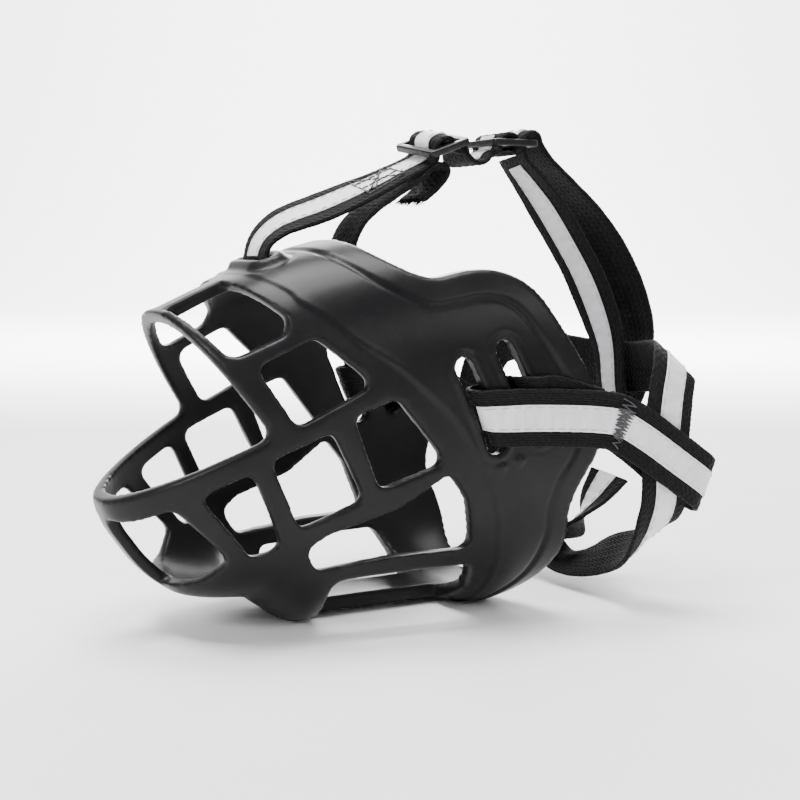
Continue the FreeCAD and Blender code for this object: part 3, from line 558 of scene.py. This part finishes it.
def raise_details(piece):
    """Moves the outer skin out along its normals for the band, the rim, the slots' lips and the pips."""
    places, normals = get_places(piece), get_normals(piece)
    own = (places - np.array(SHIFT)) / MM
    x, y, z = own.T
    outwards = np.stack([np.where(x < -36.0, (x + 36.0) / 37.0, 0.0), y / 36.0, (z - 44.0) / 42.0], 1)
    reach = np.maximum(np.linalg.norm(outwards, axis=1), 0.3)
    facing = smooth_step((normals * outwards).sum(1) / reach * 2.2)
    band = line_distance(x, z, smooth_line(BAND_LINE, 4))
    groove = line_distance(x, z, smooth_line(GROOVE_LINE, 4))
    lift = 0.30 * smooth_step((band + 0.4) / 0.9) + 0.10 * hump((band - 0.7) / 1.0)
    lift += 0.32 * smooth_step((groove - 0.2) / 0.9) - 0.34 * hump(groove / 0.8)
    sides = np.abs(y) > 14.0
    for ends in (FRONT_SLOT, REAR_SLOT):
        away = np.abs(line_distance(x, z, np.array(ends)))
        lift += np.where(sides, 0.42 * hump((away - 3.0) / 0.9) - 0.16 * hump((away - 4.1) / 0.6), 0.0)
    for pip_x, pip_z in SIZE_PIPS:
        away = np.hypot(x - pip_x, z - pip_z)
        lift += np.where(sides, 0.5 * smooth_step((1.5 - away) / 0.8), 0.0)
    top = z > 66.0
    corner = 5.0
    dx = np.maximum(np.abs(x - TOP_SLOT_X) - TOP_LIP_SIZE[0] / 2 + corner, 0.0)
    dy = np.maximum(np.abs(y) - TOP_LIP_SIZE[1] / 2 + corner, 0.0)
    pad = corner - np.hypot(dx, dy)
    lift += np.where(top, TOP_LIP_HEIGHT * smooth_step(pad / 1.6) - 0.25 * hump((pad + 0.7) / 1.0), 0.0)
    places += normals * (lift * facing * MM)[:, None]
    set_places(piece, places)


basket()


# ---------------------------------------------------------------- straps
# A strap is a list of stations (x, y, z, width direction x, y, z) that its middle passes through.
WEB_WIDTH = 12.7
WEB_THICK = 1.2
TAPE_WIDTH = 5.8
TAPE_THICK = 0.3
CROSSWISE = (0.0, 1.0, 0.0)
SLOT_LEAN = (-0.40, 0.0, 0.92)
RIB_PITCH = 1.5            # from one weft rib of the webbing to the next
EDGE_PITCH = 1.25          # loops of yarn along the webbing's edges
RIB_COLUMN = 1.55          # width of the webbing over which a rib leans one way
ROW_PITCH = 0.42           # rows of faces along a strap
LINE_PIECES = 24           # straight lengths between two stations


def with_width(points, direction):
    return [tuple(point) + tuple(direction) for point in points]


def on_glide(place, points):
    """Stations given along and above a slider, with their width along its bars."""
    x, z, slope, roll = place
    c, s = math.cos(math.radians(slope)), math.sin(math.radians(slope))
    rise, lean = math.cos(math.radians(roll)), math.sin(math.radians(roll))
    return [(x + along * c - above * rise * s, -above * lean, z + along * s + above * rise * c,
             -lean * s, rise, lean * c) for along, above in points]


# how the webbing weaves over a slider's middle bar: (along, above) in the slider's own directions
OVER_BAR = [(-5.0, -2.75), (-3.0, -1.9), (-2.3, 0.0), (-1.8, 1.5), (0.0, 2.05), (1.8, 1.5)]
HEAD_STRAP = (with_width([
    (3.4, 0.0, 95.0), (6.2, 0.0, 97.2), (8.6, 0.0, 99.6), (9.6, 0.0, 101.8), (8.2, 0.0, 103.2),
    (5.2, 0.0, 101.8), (1.4, 0.0, 99.0), (-3.4, 0.0, 96.0), (-8.5, 0.0, 92.8), (-12.2, 0.0, 89.4),
    (-14.2, 0.0, 86.0), (-15.4, 0.0, 82.6), (-18.2, 0.0, 80.2), (-24.0, 0.0, 78.7), (-30.5, 0.0, 76.4),
    (-34.4, 0.0, 75.6), (-36.1, 0.0, 77.6), (-36.1, 0.0, 82.0)], CROSSWISE)
    + [(-34.6, 0.0, 85.6, 0.0, 1.0, 0.15), (-31.2, 0.0, 88.6, 0.0, 1.0, 0.3),
       (-26.8, 0.0, 90.7, 0.0, 1.0, 0.42), (-20.0, 0.0, 93.1, 0.0, 1.0, 0.45),
       (-12.5, 0.0, 96.1, 0.0, 1.0, 0.4), (-6.0, 0.0, 98.8, 0.0, 1.0, 0.3),
       (-0.4, 0.0, 101.4, 0.0, 1.0, 0.22)]
    + on_glide(FRONT_GLIDE, OVER_BAR + [(2.3, 0.0), (3.0, -1.9), (5.0, -2.9)])
    + with_width([(15.6, 0.0, 104.7), (17.8, 0.0, 103.8), (20.0, 0.0, 104.4)], CROSSWISE)
    + on_glide(REAR_GLIDE, OVER_BAR + [(2.1, 0.0), (1.7, -1.6), (0.2, -2.3)]))
NECK_LOOP = [
    (30.5, 0.0, 106.2, 0.0, 1.0, 0.0), (30.4, 0.0, 108.4, 0.0, 1.0, 0.0), (30.8, 0.0, 110.4, 0.0, 1.0, 0.0),
    (32.5, 0.0, 111.4, 0.0, 1.0, 0.0), (34.3, 0.0, 110.6, 0.0, 1.0, 0.0), (35.3, 0.0, 108.4, 0.0, 1.0, 0.0),
    (38.6, 0.0, 104.6, 0.0, 1.0, 0.0), (44.0, -0.6, 99.4, -0.1, 1.0, 0.0),
    (50.8, -1.2, 92.2, -0.3, 0.95, 0.0), (57.0, -2.0, 83.4, -0.45, 0.89, 0.0),
    (61.8, -2.6, 75.0, -0.4, 0.92, 0.0), (65.4, -3.2, 66.4, -0.2, 0.98, 0.0),
    (66.4, -3.6, 59.0, 0.0, 1.0, 0.0), (65.4, -4.0, 51.6, 0.07, 1.0, 0.0),
    (63.2, -4.0, 46.0, 0.07, 1.0, 0.0), (60.8, -4.0, 44.6, 0.07, 1.0, 0.0),
    (58.8, -4.0, 46.4, 0.07, 1.0, 0.0), (58.0, -4.0, 51.0, 0.07, 1.0, 0.0),
    (57.2, -4.0, 58.6, 0.0, 1.0, 0.0), (55.2, -3.8, 65.4, -0.2, 0.98, 0.0),
    (51.6, -3.2, 74.2, -0.3, 0.95, 0.0), (47.4, -2.8, 81.8, -0.3, 0.95, 0.0),
    (40.0, -2.0, 93.0, -0.3, 0.95, 0.0), (35.2, -1.2, 99.4, -0.15, 0.99, 0.0),
    (31.8, -0.3, 103.8, 0.0, 1.0, 0.0), (30.7, 0.0, 105.9, 0.0, 1.0, 0.0)]


def cheek_strap(side):
    """Closed loop: from the stitches back round the collar, forward to the slots and back again."""
    rows = [(29.6, 39.9, 46.6, (0.1, 0, 1)), (33.4, 40.0, 45.2, (0.2, 0, 1)),
            (40.0, 38.9, 41.2, (0.5, 0, 0.87)), (47.5, 38.0, 36.0, (0.5, 0, 0.87)),
            (54.4, 38.4, 31.4, (0.42, 0, 0.9)),
            (56.8, 41.0, 29.8, (0.38, 0, 0.92)), (54.4, 43.5, 31.4, (0.42, 0, 0.9)),
            (46.5, 43.7, 36.6, (0.5, 0, 0.87)), (39.0, 42.8, 41.8, (0.45, 0, 0.9)),
            (33.0, 41.5, 45.4, (0.2, 0, 1)), (27.0, 40.9, 46.6, (0, 0, 1)), (19.0, 39.5, 47.2, (0, 0, 1)),
            (11.5, 38.1, 47.5, (-0.1, 0, 1)), (6.6, 37.1, 47.6, SLOT_LEAN), (3.3, 35.6, 47.7, SLOT_LEAN),
            (2.3, 33.4, 47.8, SLOT_LEAN), (2.3, 31.4, 47.9, SLOT_LEAN), (3.9, 29.9, 48.2, SLOT_LEAN),
            (7.2, 30.2, 49.0, SLOT_LEAN), (10.8, 30.7, 50.0, SLOT_LEAN), (12.5, 32.4, 50.3, SLOT_LEAN),
            (12.9, 34.8, 50.4, SLOT_LEAN), (14.9, 37.0, 50.3, SLOT_LEAN), (18.5, 37.9, 49.9, (-0.1, 0, 1)),
            (23.4, 38.8, 48.4, (0, 0, 1)), (28.0, 39.5, 47.0, (0.1, 0, 1))]
    return [(x, side * out, z) + wide for x, out, z, wide in rows]


BUCKLE_START = Vector((46.0, 7.5, 9.6))      # fold of the collar round the plug's bar
BUCKLE_SLOPE = 20.0        # degrees above the level, towards the dog's right


def by_buckle(along, inward):
    """Station at a distance along the buckle and towards the inside of the collar."""
    c, s = math.cos(math.radians(BUCKLE_SLOPE)), math.sin(math.radians(BUCKLE_SLOPE))
    return (BUCKLE_START.x, BUCKLE_START.y + along * c - inward * s, BUCKLE_START.z + along * s + inward * c,
            -1, 0, 0)


COLLAR_TOP = [(46.3, 41.2, 42.0, -1, 0, 0), (47.2, 41.0, 50.0, -0.97, 0, 0.25),
              (49.8, 39.0, 56.2, -0.9, 0, 0.43), (53.6, 33.6, 58.0, -0.75, 0, 0.66),
              (57.8, 24.0, 56.6, -0.5, 0, 0.87),
              (60.4, 12.0, 54.8, -0.15, 0, 0.99), (61.2, 0.0, 54.2, 0, 0, 1)]
COLLAR_SIDE = [(46.0, 36.6, 20.4, -1, 0, 0), (46.0, 39.3, 23.4, -1, 0, 0), (46.0, 40.9, 27.6, -1, 0, 0),
               (46.0, 41.1, 34.0, -1, 0, 0)]


def left_side(stations):
    return [(s[0], -s[1]) + s[2:] for s in stations]


COLLAR = ([by_buckle(24.6, 1.0), by_buckle(28.2, 1.4)] + COLLAR_SIDE + COLLAR_TOP
          + left_side(COLLAR_TOP[-2::-1])
          + [(46.0, -41.1, 34.0, -1, 0, 0), (46.0, -40.9, 27.6, -1, 0, 0), (46.0, -39.4, 23.2, -1, 0, -0.08),
             (46.0, -36.4, 19.4, -1, 0, -0.4), (46.0, -30.0, 14.4, -1, 0, -0.9),
             (46.0, -19.0, 10.4, -1, 0, -1.1), (46.0, -8.0, 7.0, -1, 0, -0.5),
             by_buckle(-6.5, -1.2), by_buckle(-0.6, -1.2), by_buckle(1.5, -0.6), by_buckle(2.2, 1.0),
             by_buckle(1.5, 2.6), by_buckle(-0.6, 3.2), by_buckle(-5.0, 3.2),
             (46.8, -2.4, 12.8, -1, -0.1, 0), (49.0, -4.6, 16.8, -0.7, -0.7, 0),
             (52.6, -5.4, 22.0, -0.1, -1, 0), (57.0, -5.4, 27.2, 0.3, -0.95, 0)])


class Path:
    """The middle line of a strap: places, slopes, width and outward directions, and length so far."""

    def __init__(self, stations, first=0, last=None):
        last = len(stations) - 1 if last is None else last
        line = smooth_line(stations, LINE_PIECES)[first * LINE_PIECES:last * LINE_PIECES + 1]
        gaps = np.linalg.norm(np.diff(line[:, :3], axis=0), axis=1)
        length = np.concatenate([[0.0], np.cumsum(gaps)])
        self.length = length[-1]
        count = int(self.length / ROW_PITCH) + 1
        self.along = np.linspace(0.0, self.length, count)
        rows = np.stack([np.interp(self.along, length, line[:, i]) for i in range(6)], 1)
        self.place = rows[:, :3]
        slope = np.gradient(self.place, axis=0)
        self.slope = slope / np.linalg.norm(slope, axis=1)[:, None]
        wide = rows[:, 3:] - self.slope * (rows[:, 3:] * self.slope).sum(1)[:, None]
        self.wide = wide / np.linalg.norm(wide, axis=1)[:, None]
        self.out = np.cross(self.slope, self.wide)

    def at(self, along, across, lift):
        """Place at a length along, a distance across and a height above the middle."""
        along = np.atleast_1d(np.asarray(along, float))
        parts = [np.stack([np.interp(along, self.along, rows[:, i]) for i in range(3)], 1)
                 for rows in (self.place, self.wide, self.out)]
        return parts[0] + parts[1] * np.reshape(across, (-1, 1)) + parts[2] * np.reshape(lift, (-1, 1))


def ring_profile(width, thick, columns, rounding):
    """(across, above) points round a flat strap's section, starting at its lower left edge."""
    half_w, half_t = width / 2.0, thick / 2.0
    flat = half_w - rounding
    upper = [(flat * (2.0 * k / columns - 1.0), half_t) for k in range(columns + 1)]
    right = [(flat + rounding * math.sin(a), half_t * math.cos(a)) for a in np.linspace(0, math.pi, 7)[1:-1]]
    lower = [(-across, -above) for across, above in upper]
    left = [(-across, -above) for across, above in right]
    return np.array(left + upper + right + lower)


def ribbon(path, width, thick, columns, rounding, relief, lift=0.0):
    """A grid wrapped round the path into a closed band; relief(along, across, above) moves its skin out."""
    ring = ring_profile(width, thick, columns, rounding)
    around = len(ring)
    rows = len(path.along)
    clear_selection()
    bpy.ops.mesh.primitive_grid_add(x_subdivisions=around, y_subdivisions=rows - 1)
    piece = bpy.context.object
    order = get_places(piece)
    column = np.rint((order[:, 0] - order[:, 0].min()) / np.ptp(order[:, 0]) * around).astype(int)
    row = np.rint((order[:, 1] - order[:, 1].min()) / np.ptp(order[:, 1]) * (rows - 1)).astype(int)
    across, above = ring[column % around].T
    along = path.along[row]
    raised = relief(along, across, above)
    side = above / (thick / 2.0)
    edge = np.clip((np.abs(across) - (width / 2.0 - rounding)) / rounding, 0.0, 1.0) * np.sign(across)
    places = (path.place[row] + path.wide[row] * (across + edge * raised)[:, None]
              + path.out[row] * (lift + above + side * (1 - np.abs(edge)) * raised)[:, None])
    set_places(piece, places * MM + np.array(SHIFT))
    layer = piece.data.uv_layers.active
    gaps = np.linalg.norm(np.diff(np.vstack([ring, ring[:1]]), axis=0), axis=1)
    reach = np.concatenate([[0.0], np.cumsum(gaps)])
    corner = np.zeros(len(piece.data.loops), np.int32)
    piece.data.loops.foreach_get("vertex_index", corner)
    flat = np.stack([reach[column[corner]], along[corner]], 1) * MM
    layer.data.foreach_set("uv", flat.astype(np.float32).ravel())
    layer.name = "UVMap"
    pick(piece)
    bpy.ops.object.mode_set(mode="EDIT")
    bpy.ops.mesh.select_all(action="SELECT")
    bpy.ops.mesh.remove_doubles(threshold=1e-7)
    bpy.ops.mesh.select_all(action="DESELECT")
    bpy.ops.mesh.select_non_manifold()
    bpy.ops.mesh.fill_holes(sides=0)
    bpy.ops.mesh.select_all(action="SELECT")
    bpy.ops.mesh.normals_make_consistent(inside=False)
    bpy.ops.object.mode_set(mode="OBJECT")
    smooth_shade(piece, 50.0)
    return piece


def weave(along, across, above):
    """Weft ribs that lean one way and the other in turn, and loops of yarn along the edges."""
    lean = np.abs(((across + 20.0) / RIB_COLUMN) % 2.0 - 1.0)
    ribs = 0.085 * np.cos(2 * math.pi * (along / RIB_PITCH + 0.5 * lean + np.where(above > 0, 0.0, 0.5)))
    columns = 0.045 * np.cos(2 * math.pi * across / RIB_COLUMN)
    loops = 0.13 * np.abs(np.sin(math.pi * along / EDGE_PITCH)) - 0.08
    near_edge = np.clip((np.abs(across) - WEB_WIDTH / 2 + 0.7) / 0.4, 0.0, 1.0)
    uneven = 0.06 * np.sin(along * 0.9 + across * 0.35) * np.sin(along * 0.37 + 1.3)
    return (ribs + columns) * (1 - near_edge) + loops * near_edge + uneven


def creases(seed):
    """Fine wrinkles across a tape."""
    def relief(along, across, above):
        low = np.sin(along * 2.1 + seed + 0.5 * np.sin(across * 1.2 + along * 0.3))
        fine = np.sin(along * 5.3 + across * 0.6 + 2.0 * np.sin(along * 0.61 + seed))
        patch = 0.5 + 0.5 * np.sin(along * 0.23 + seed * 1.7)
        return np.where(above > 0, 0.035 * low * patch + 0.022 * fine * patch, 0.0)
    return relief


def webbing(name, stations, node):
    path = Path(stations)
    piece = ribbon(path, WEB_WIDTH, WEB_THICK, 30, 0.6, weave)
    settle(piece, name, WEBBING, "webbing", "muzzle", node)
    return path


def tape(name, stations, side, first, last, seed, node):
    path = Path(stations, first, last)
    path.out *= side
    path.wide *= side
    lift = WEB_THICK / 2 + TAPE_THICK / 2 + 0.02
    piece = ribbon(path, TAPE_WIDTH, TAPE_THICK, 12, 0.14, creases(seed), lift)
    settle(piece, name, TAPE, "reflective_tape", "muzzle", node)
    return path


def thread(name, strokes, radius, material, *nodes, sides=2):
    """Tubes along strokes, each a list of places; the tube's ends are closed."""
    data = bpy.data.curves.new(name, "CURVE")
    data.dimensions = "3D"
    data.bevel_depth = radius * MM
    data.bevel_resolution = sides
    data.use_fill_caps = True
    for places in strokes:
        spline = data.splines.new("POLY")
        spline.points.add(len(places) - 1)
        for point, place in zip(spline.points, places):
            point.co = (*spot(*place), 1.0)
    piece = bpy.data.objects.new(name, data)
    bpy.context.scene.collection.objects.link(piece)
    pick(piece)
    bpy.ops.object.convert(target="MESH")
    piece = bpy.context.object
    smooth_shade(piece, 60.0)
    return settle(piece, name, material, "thread", "muzzle", *nodes)


def running_stitches(path, inset=0.55, length=1.9, gap=0.75):
    """One row of short stitches along each edge of a tape."""
    strokes = []
    for edge in (-1, 1):
        across = edge * (TAPE_WIDTH / 2 - inset)
        start = 0.5
        while start + length < path.length - 0.4:
            t = np.linspace(0.0, 1.0, 5)
            arch = 0.09 * np.sin(math.pi * t) - 0.16 * (np.abs(2 * t - 1) > 0.9)
            lift = WEB_THICK / 2 + TAPE_THICK + 0.06 + arch
            strokes.append(path.at(start + length * t, np.full(5, across), lift))
            start += length + gap
    return strokes


def zigzag(path, start, end, low, high, pitch, lift):
    """A bar of zigzag stitches between two lengths and two distances across."""
    points = []
    turns = max(2, int(abs(high - low) / pitch))
    for k in range(turns + 1):
        points.append((start if k % 2 == 0 else end, low + (high - low) * k / turns))
    strokes = []
    for (a, b), (c, d) in zip(points[:-1], points[1:]):
        t = np.linspace(0.0, 1.0, 6)
        height = lift + 0.14 * np.sin(math.pi * t) - 0.1 * (np.abs(2 * t - 1) > 0.9)
        strokes.append(path.at(a + (c - a) * t, b + (d - b) * t, height))
    return strokes


SEAM_DRAW = random.Random(7)
SEAM_PITCH = 2.05          # from one stitch to the next


def seam(path, a, b, lift, wander):
    """A line of stitches from (along, across) a to b, slightly uneven."""
    (a0, a1), (b0, b1) = a, b
    whole = math.hypot(b0 - a0, b1 - a1)
    count = max(1, round(whole / SEAM_PITCH))
    strokes = []
    for k in range(count):
        f, g = (k + 0.08) / count, (k + 0.92) / count
        t = np.linspace(f, g, 6)
        side = wander * SEAM_DRAW.uniform(-1, 1)
        dx, dy = (b0 - a0) / whole, (b1 - a1) / whole
        along = a0 + (b0 - a0) * t - dy * side
        across = a1 + (b1 - a1) * t + dx * side
        height = lift + 0.13 * np.sin(math.pi * (t - f) / (g - f))
        strokes.append(path.at(along, across, height))
    return strokes


def length_at(stations, index):
    """Length of a strap from its first station to station index."""
    return Path(stations, 0, index).length


STITCH_LIFT = WEB_THICK / 2 + TAPE_THICK + 0.1


def head_strap():
    path = webbing("head_webbing", HEAD_STRAP, "head_strap")
    tape_path = tape("head_tape", HEAD_STRAP, 1, 17, 40, 0.4, "head_strap_tape")
    middle = length_at(HEAD_STRAP, 23)
    strokes = []
    low, high = middle - 5.2, middle + 5.2
    for across in (-4.6, -1.6, 1.5, 4.6):
        lift = STITCH_LIFT - (0.3 if abs(across) > TAPE_WIDTH / 2 else 0.0)
        strokes += seam(path, (low, across), (high, across + 0.5), lift, wander=0.12)
    for a, b in (((low, -4.6), (high, 4.6)), ((low, 4.6), (high, -4.6)), ((low, -4.6), (low, 4.6)),
                 ((high, -4.6), (high, 4.6)), ((low + 2.4, -4.4), (high - 1.2, 4.2))):
        strokes += seam(path, a, b, STITCH_LIFT, wander=0.15)
    thread("head_box_stitches", strokes, 0.16, DARK_THREAD, "head_strap_stitching")
    frayed_end(path)
    return tape_path


def frayed_end(path):
    """Loose yarn ends at the cut end of the head strap."""
    draw = random.Random(11)
    strokes = []
    for _ in range(90):
        across = draw.uniform(-WEB_WIDTH / 2 + 0.3, WEB_WIDTH / 2 - 0.3)
        height = draw.uniform(-0.45, 0.45)
        base = path.at(0.6, across, height)[0]
        reach = draw.uniform(0.5, 1.9)
        tip = base - path.slope[0] * (0.6 + reach) + path.wide[0] * draw.uniform(-0.5, 0.5) \
            + path.out[0] * draw.uniform(-0.4, 0.4)
        middle = (base + tip) / 2 + path.out[0] * draw.uniform(-0.2, 0.2)
        strokes.append([base, middle, tip])
    piece = thread("head_webbing_frayed_end", strokes, 0.07, WEBBING, sides=0)


def cheek(side, name):
    stations = cheek_strap(side)
    path = webbing(name + "_cheek_webbing", stations, name + "_cheek_strap")
    tape_path = tape(name + "_cheek_grey_tape", stations, side, 3, 15, 1.9 + side, name + "_cheek_tape")
    middle = length_at(stations, 9)
    path.out *= side
    strokes = zigzag(path, middle - 1.9, middle + 1.6, -3.4, 3.4, 0.36, STITCH_LIFT)
    strokes += zigzag(path, middle - 1.2, middle + 1.9, 3.2, -3.2, 0.5, STITCH_LIFT + 0.08)
    strokes += zigzag(path, middle - 1.5, middle + 1.3, -5.4, 5.4, 0.7, STITCH_LIFT)
    thread(name + "_cheek_bar_tack", strokes, 0.13, DARK_THREAD, name + "_cheek_stitching")
    return tape_path


def collar():
    path = webbing("collar_webbing", COLLAR, "collar")
    tape_path = tape("collar_grey_tape", COLLAR, -1, 3, len(COLLAR) - 1, 3.1, "collar_tape")
    middle = length_at(COLLAR, 1)
    path.out *= -1
    strokes = zigzag(path, middle - 1.2, middle + 1.2, -5.2, 5.2, 0.5, STITCH_LIFT - 0.2)
    thread("collar_bar_tack", strokes, 0.13, DARK_THREAD, "collar_stitching")
    return tape_path


webbing("neck_webbing", NECK_LOOP, "neck_loop")
tape_paths = [head_strap(), tape("neck_tape", NECK_LOOP, 1, 2, 24, 2.6, "neck_loop_tape"),
              cheek(-1, "left"), cheek(1, "right"), collar()]
for label, tape_path in zip(("head", "neck", "left_cheek", "right_cheek", "collar"), tape_paths):
    thread(label + "_tape_stitches", running_stitches(tape_path), 0.11, PALE_THREAD, sides=0)


# ---------------------------------------------------------------- sliders and buckle
def rounded_copy(node, name, material, slot, body, radius):
    """A copy of a moulded piece with its doubles merged and all its edges rounded."""
    piece = bpy.data.objects.new(name, frame["nodes"][node].data.copy())
    bpy.context.scene.collection.objects.link(piece)
    pick(piece)
    bpy.ops.object.mode_set(mode="EDIT")
    bpy.ops.mesh.select_all(action="SELECT")
    bpy.ops.mesh.remove_doubles(threshold=1e-6)
    bpy.ops.mesh.dissolve_limited(angle_limit=math.radians(1.0))
    bpy.ops.object.mode_set(mode="OBJECT")
    apply_modifier(piece, "BEVEL", width=radius * MM, segments=3, limit_method="ANGLE",
                   angle_limit=math.radians(40.0), use_clamp_overlap=True)
    smooth_shade(piece, 40.0)
    return settle(piece, name, material, slot, body, node)


for node, name, material, slot, body, radius in (
        ("front_slider", "front_bar_slider", SLIDER_PLASTIC, "slider_plastic", "front_slider", 0.55),
        ("rear_slider", "rear_bar_slider", SLIDER_PLASTIC, "slider_plastic", "rear_slider", 0.55),
        ("buckle_plug", "plug_of_buckle", BUCKLE_PLASTIC, "buckle_plastic", "muzzle", 0.35),
        ("buckle_socket", "socket_of_buckle", BUCKLE_PLASTIC, "buckle_plastic", "muzzle", 0.5),
        ("buckle_prong_front", "front_prong_of_buckle", BUCKLE_PLASTIC, "buckle_plastic", "front_prong", 0.3),
        ("buckle_prong_rear", "rear_prong_of_buckle", BUCKLE_PLASTIC, "buckle_plastic", "rear_prong", 0.3)):
    rounded_copy(node, name, material, slot, body, radius)


# ---------------------------------------------------------------- floor, light and camera
CAMERA_AZIMUTH = -28.0     # degrees round from straight at the left side
CAMERA_ELEVATION = 6.0
CAMERA_DISTANCE = 329.41
CAMERA_AIM_Z = 48.4


def studio():
    """A pale sheet of paper that curves up behind the muzzle, and five soft boxes."""
    clear_selection()
    front, bend, rise, radius, half = -3.0, 1.6, 3.0, 1.0, 5.0
    line = [(front, 0.0), (bend, 0.0)]
    line += [(bend + radius * math.sin(a), radius - radius * math.cos(a))
             for a in np.linspace(0, math.pi / 2, 14)[1:]]
    line.append((bend + radius, rise))
    bpy.ops.mesh.primitive_grid_add(x_subdivisions=1, y_subdivisions=len(line) - 1)
    floor = bpy.context.object
    order = get_places(floor)
    row = np.rint((order[:, 1] + order[:, 1].max()) / np.ptp(order[:, 1]) * (len(line) - 1)).astype(int)
    turn = Matrix.Rotation(math.radians(CAMERA_AZIMUTH), 3, "Z")
    set_places(floor, [turn @ Vector((half * np.sign(x), *line[r])) for x, r in zip(order[:, 0], row)])
    smooth_shade(floor)
    floor.name = "pale_paper"
    material, nodes, links, shader = new_material("pale_paper")
    place = add_node(nodes, "ShaderNodeTexCoord").outputs["Object"]
    fibres = noise_on(nodes, links, place, 40.0)
    links.new(colour_ramp(nodes, links, fibres, (0.88, 0.88, 0.88), (0.90, 0.90, 0.90)),
              shader.inputs["Base Color"])
    shader.inputs["Roughness"].default_value = 0.95
    shader.inputs["Specular IOR Level"].default_value = 0.1
    floor.data.materials.append(material)
    world = bpy.data.worlds.new("soft_room")
    bpy.context.scene.world = world
    world.use_nodes = True
    world.node_tree.nodes["Background"].inputs["Color"].default_value = (1.0, 1.0, 1.0, 1.0)
    world.node_tree.nodes["Background"].inputs["Strength"].default_value = 0.3
    lights = [("top_box", (-0.05, 0.10, 0.85), 0.6, 20.0), ("left_box", (-0.80, -0.30, 0.50), 0.3, 6.0),
              ("front_box", (0.35, -0.85, 0.55), 0.25, 2.0), ("rear_box", (0.55, 0.70, 0.55), 0.5, 9.0),
              ("paper_box", (0.42, 0.8, 1.1), 1.4, 190.0)]
    for name, place, size, power in lights:
        target = spot(0.0, 0.0, 45.0) if name != "paper_box" else Vector((1.13, 2.1, 0.3))
        data = bpy.data.lights.new(name, "AREA")
        data.size = size
        data.energy = power
        light = bpy.data.objects.new(name, data)
        bpy.context.scene.collection.objects.link(light)
        light.location = place
        light.rotation_euler = (target - Vector(place)).to_track_quat("-Z", "Y").to_euler()


def camera():
    azimuth, elevation = math.radians(CAMERA_AZIMUTH), math.radians(CAMERA_ELEVATION)
    back = Vector((math.sin(azimuth) * math.cos(elevation), -math.cos(azimuth) * math.cos(elevation),
                   math.sin(elevation)))
    data = bpy.data.cameras.new("camera")
    data.lens = 63.0
    data.sensor_width = 36.0
    data.clip_start = 0.01
    item = bpy.data.objects.new("camera", data)
    bpy.context.scene.collection.objects.link(item)
    item.location = spot(0.0, 0.0, CAMERA_AIM_Z) + back * CAMERA_DISTANCE * MM
    item.rotation_euler = (-back).to_track_quat("-Z", "Y").to_euler()
    bpy.context.scene.camera = item


studio()
camera()
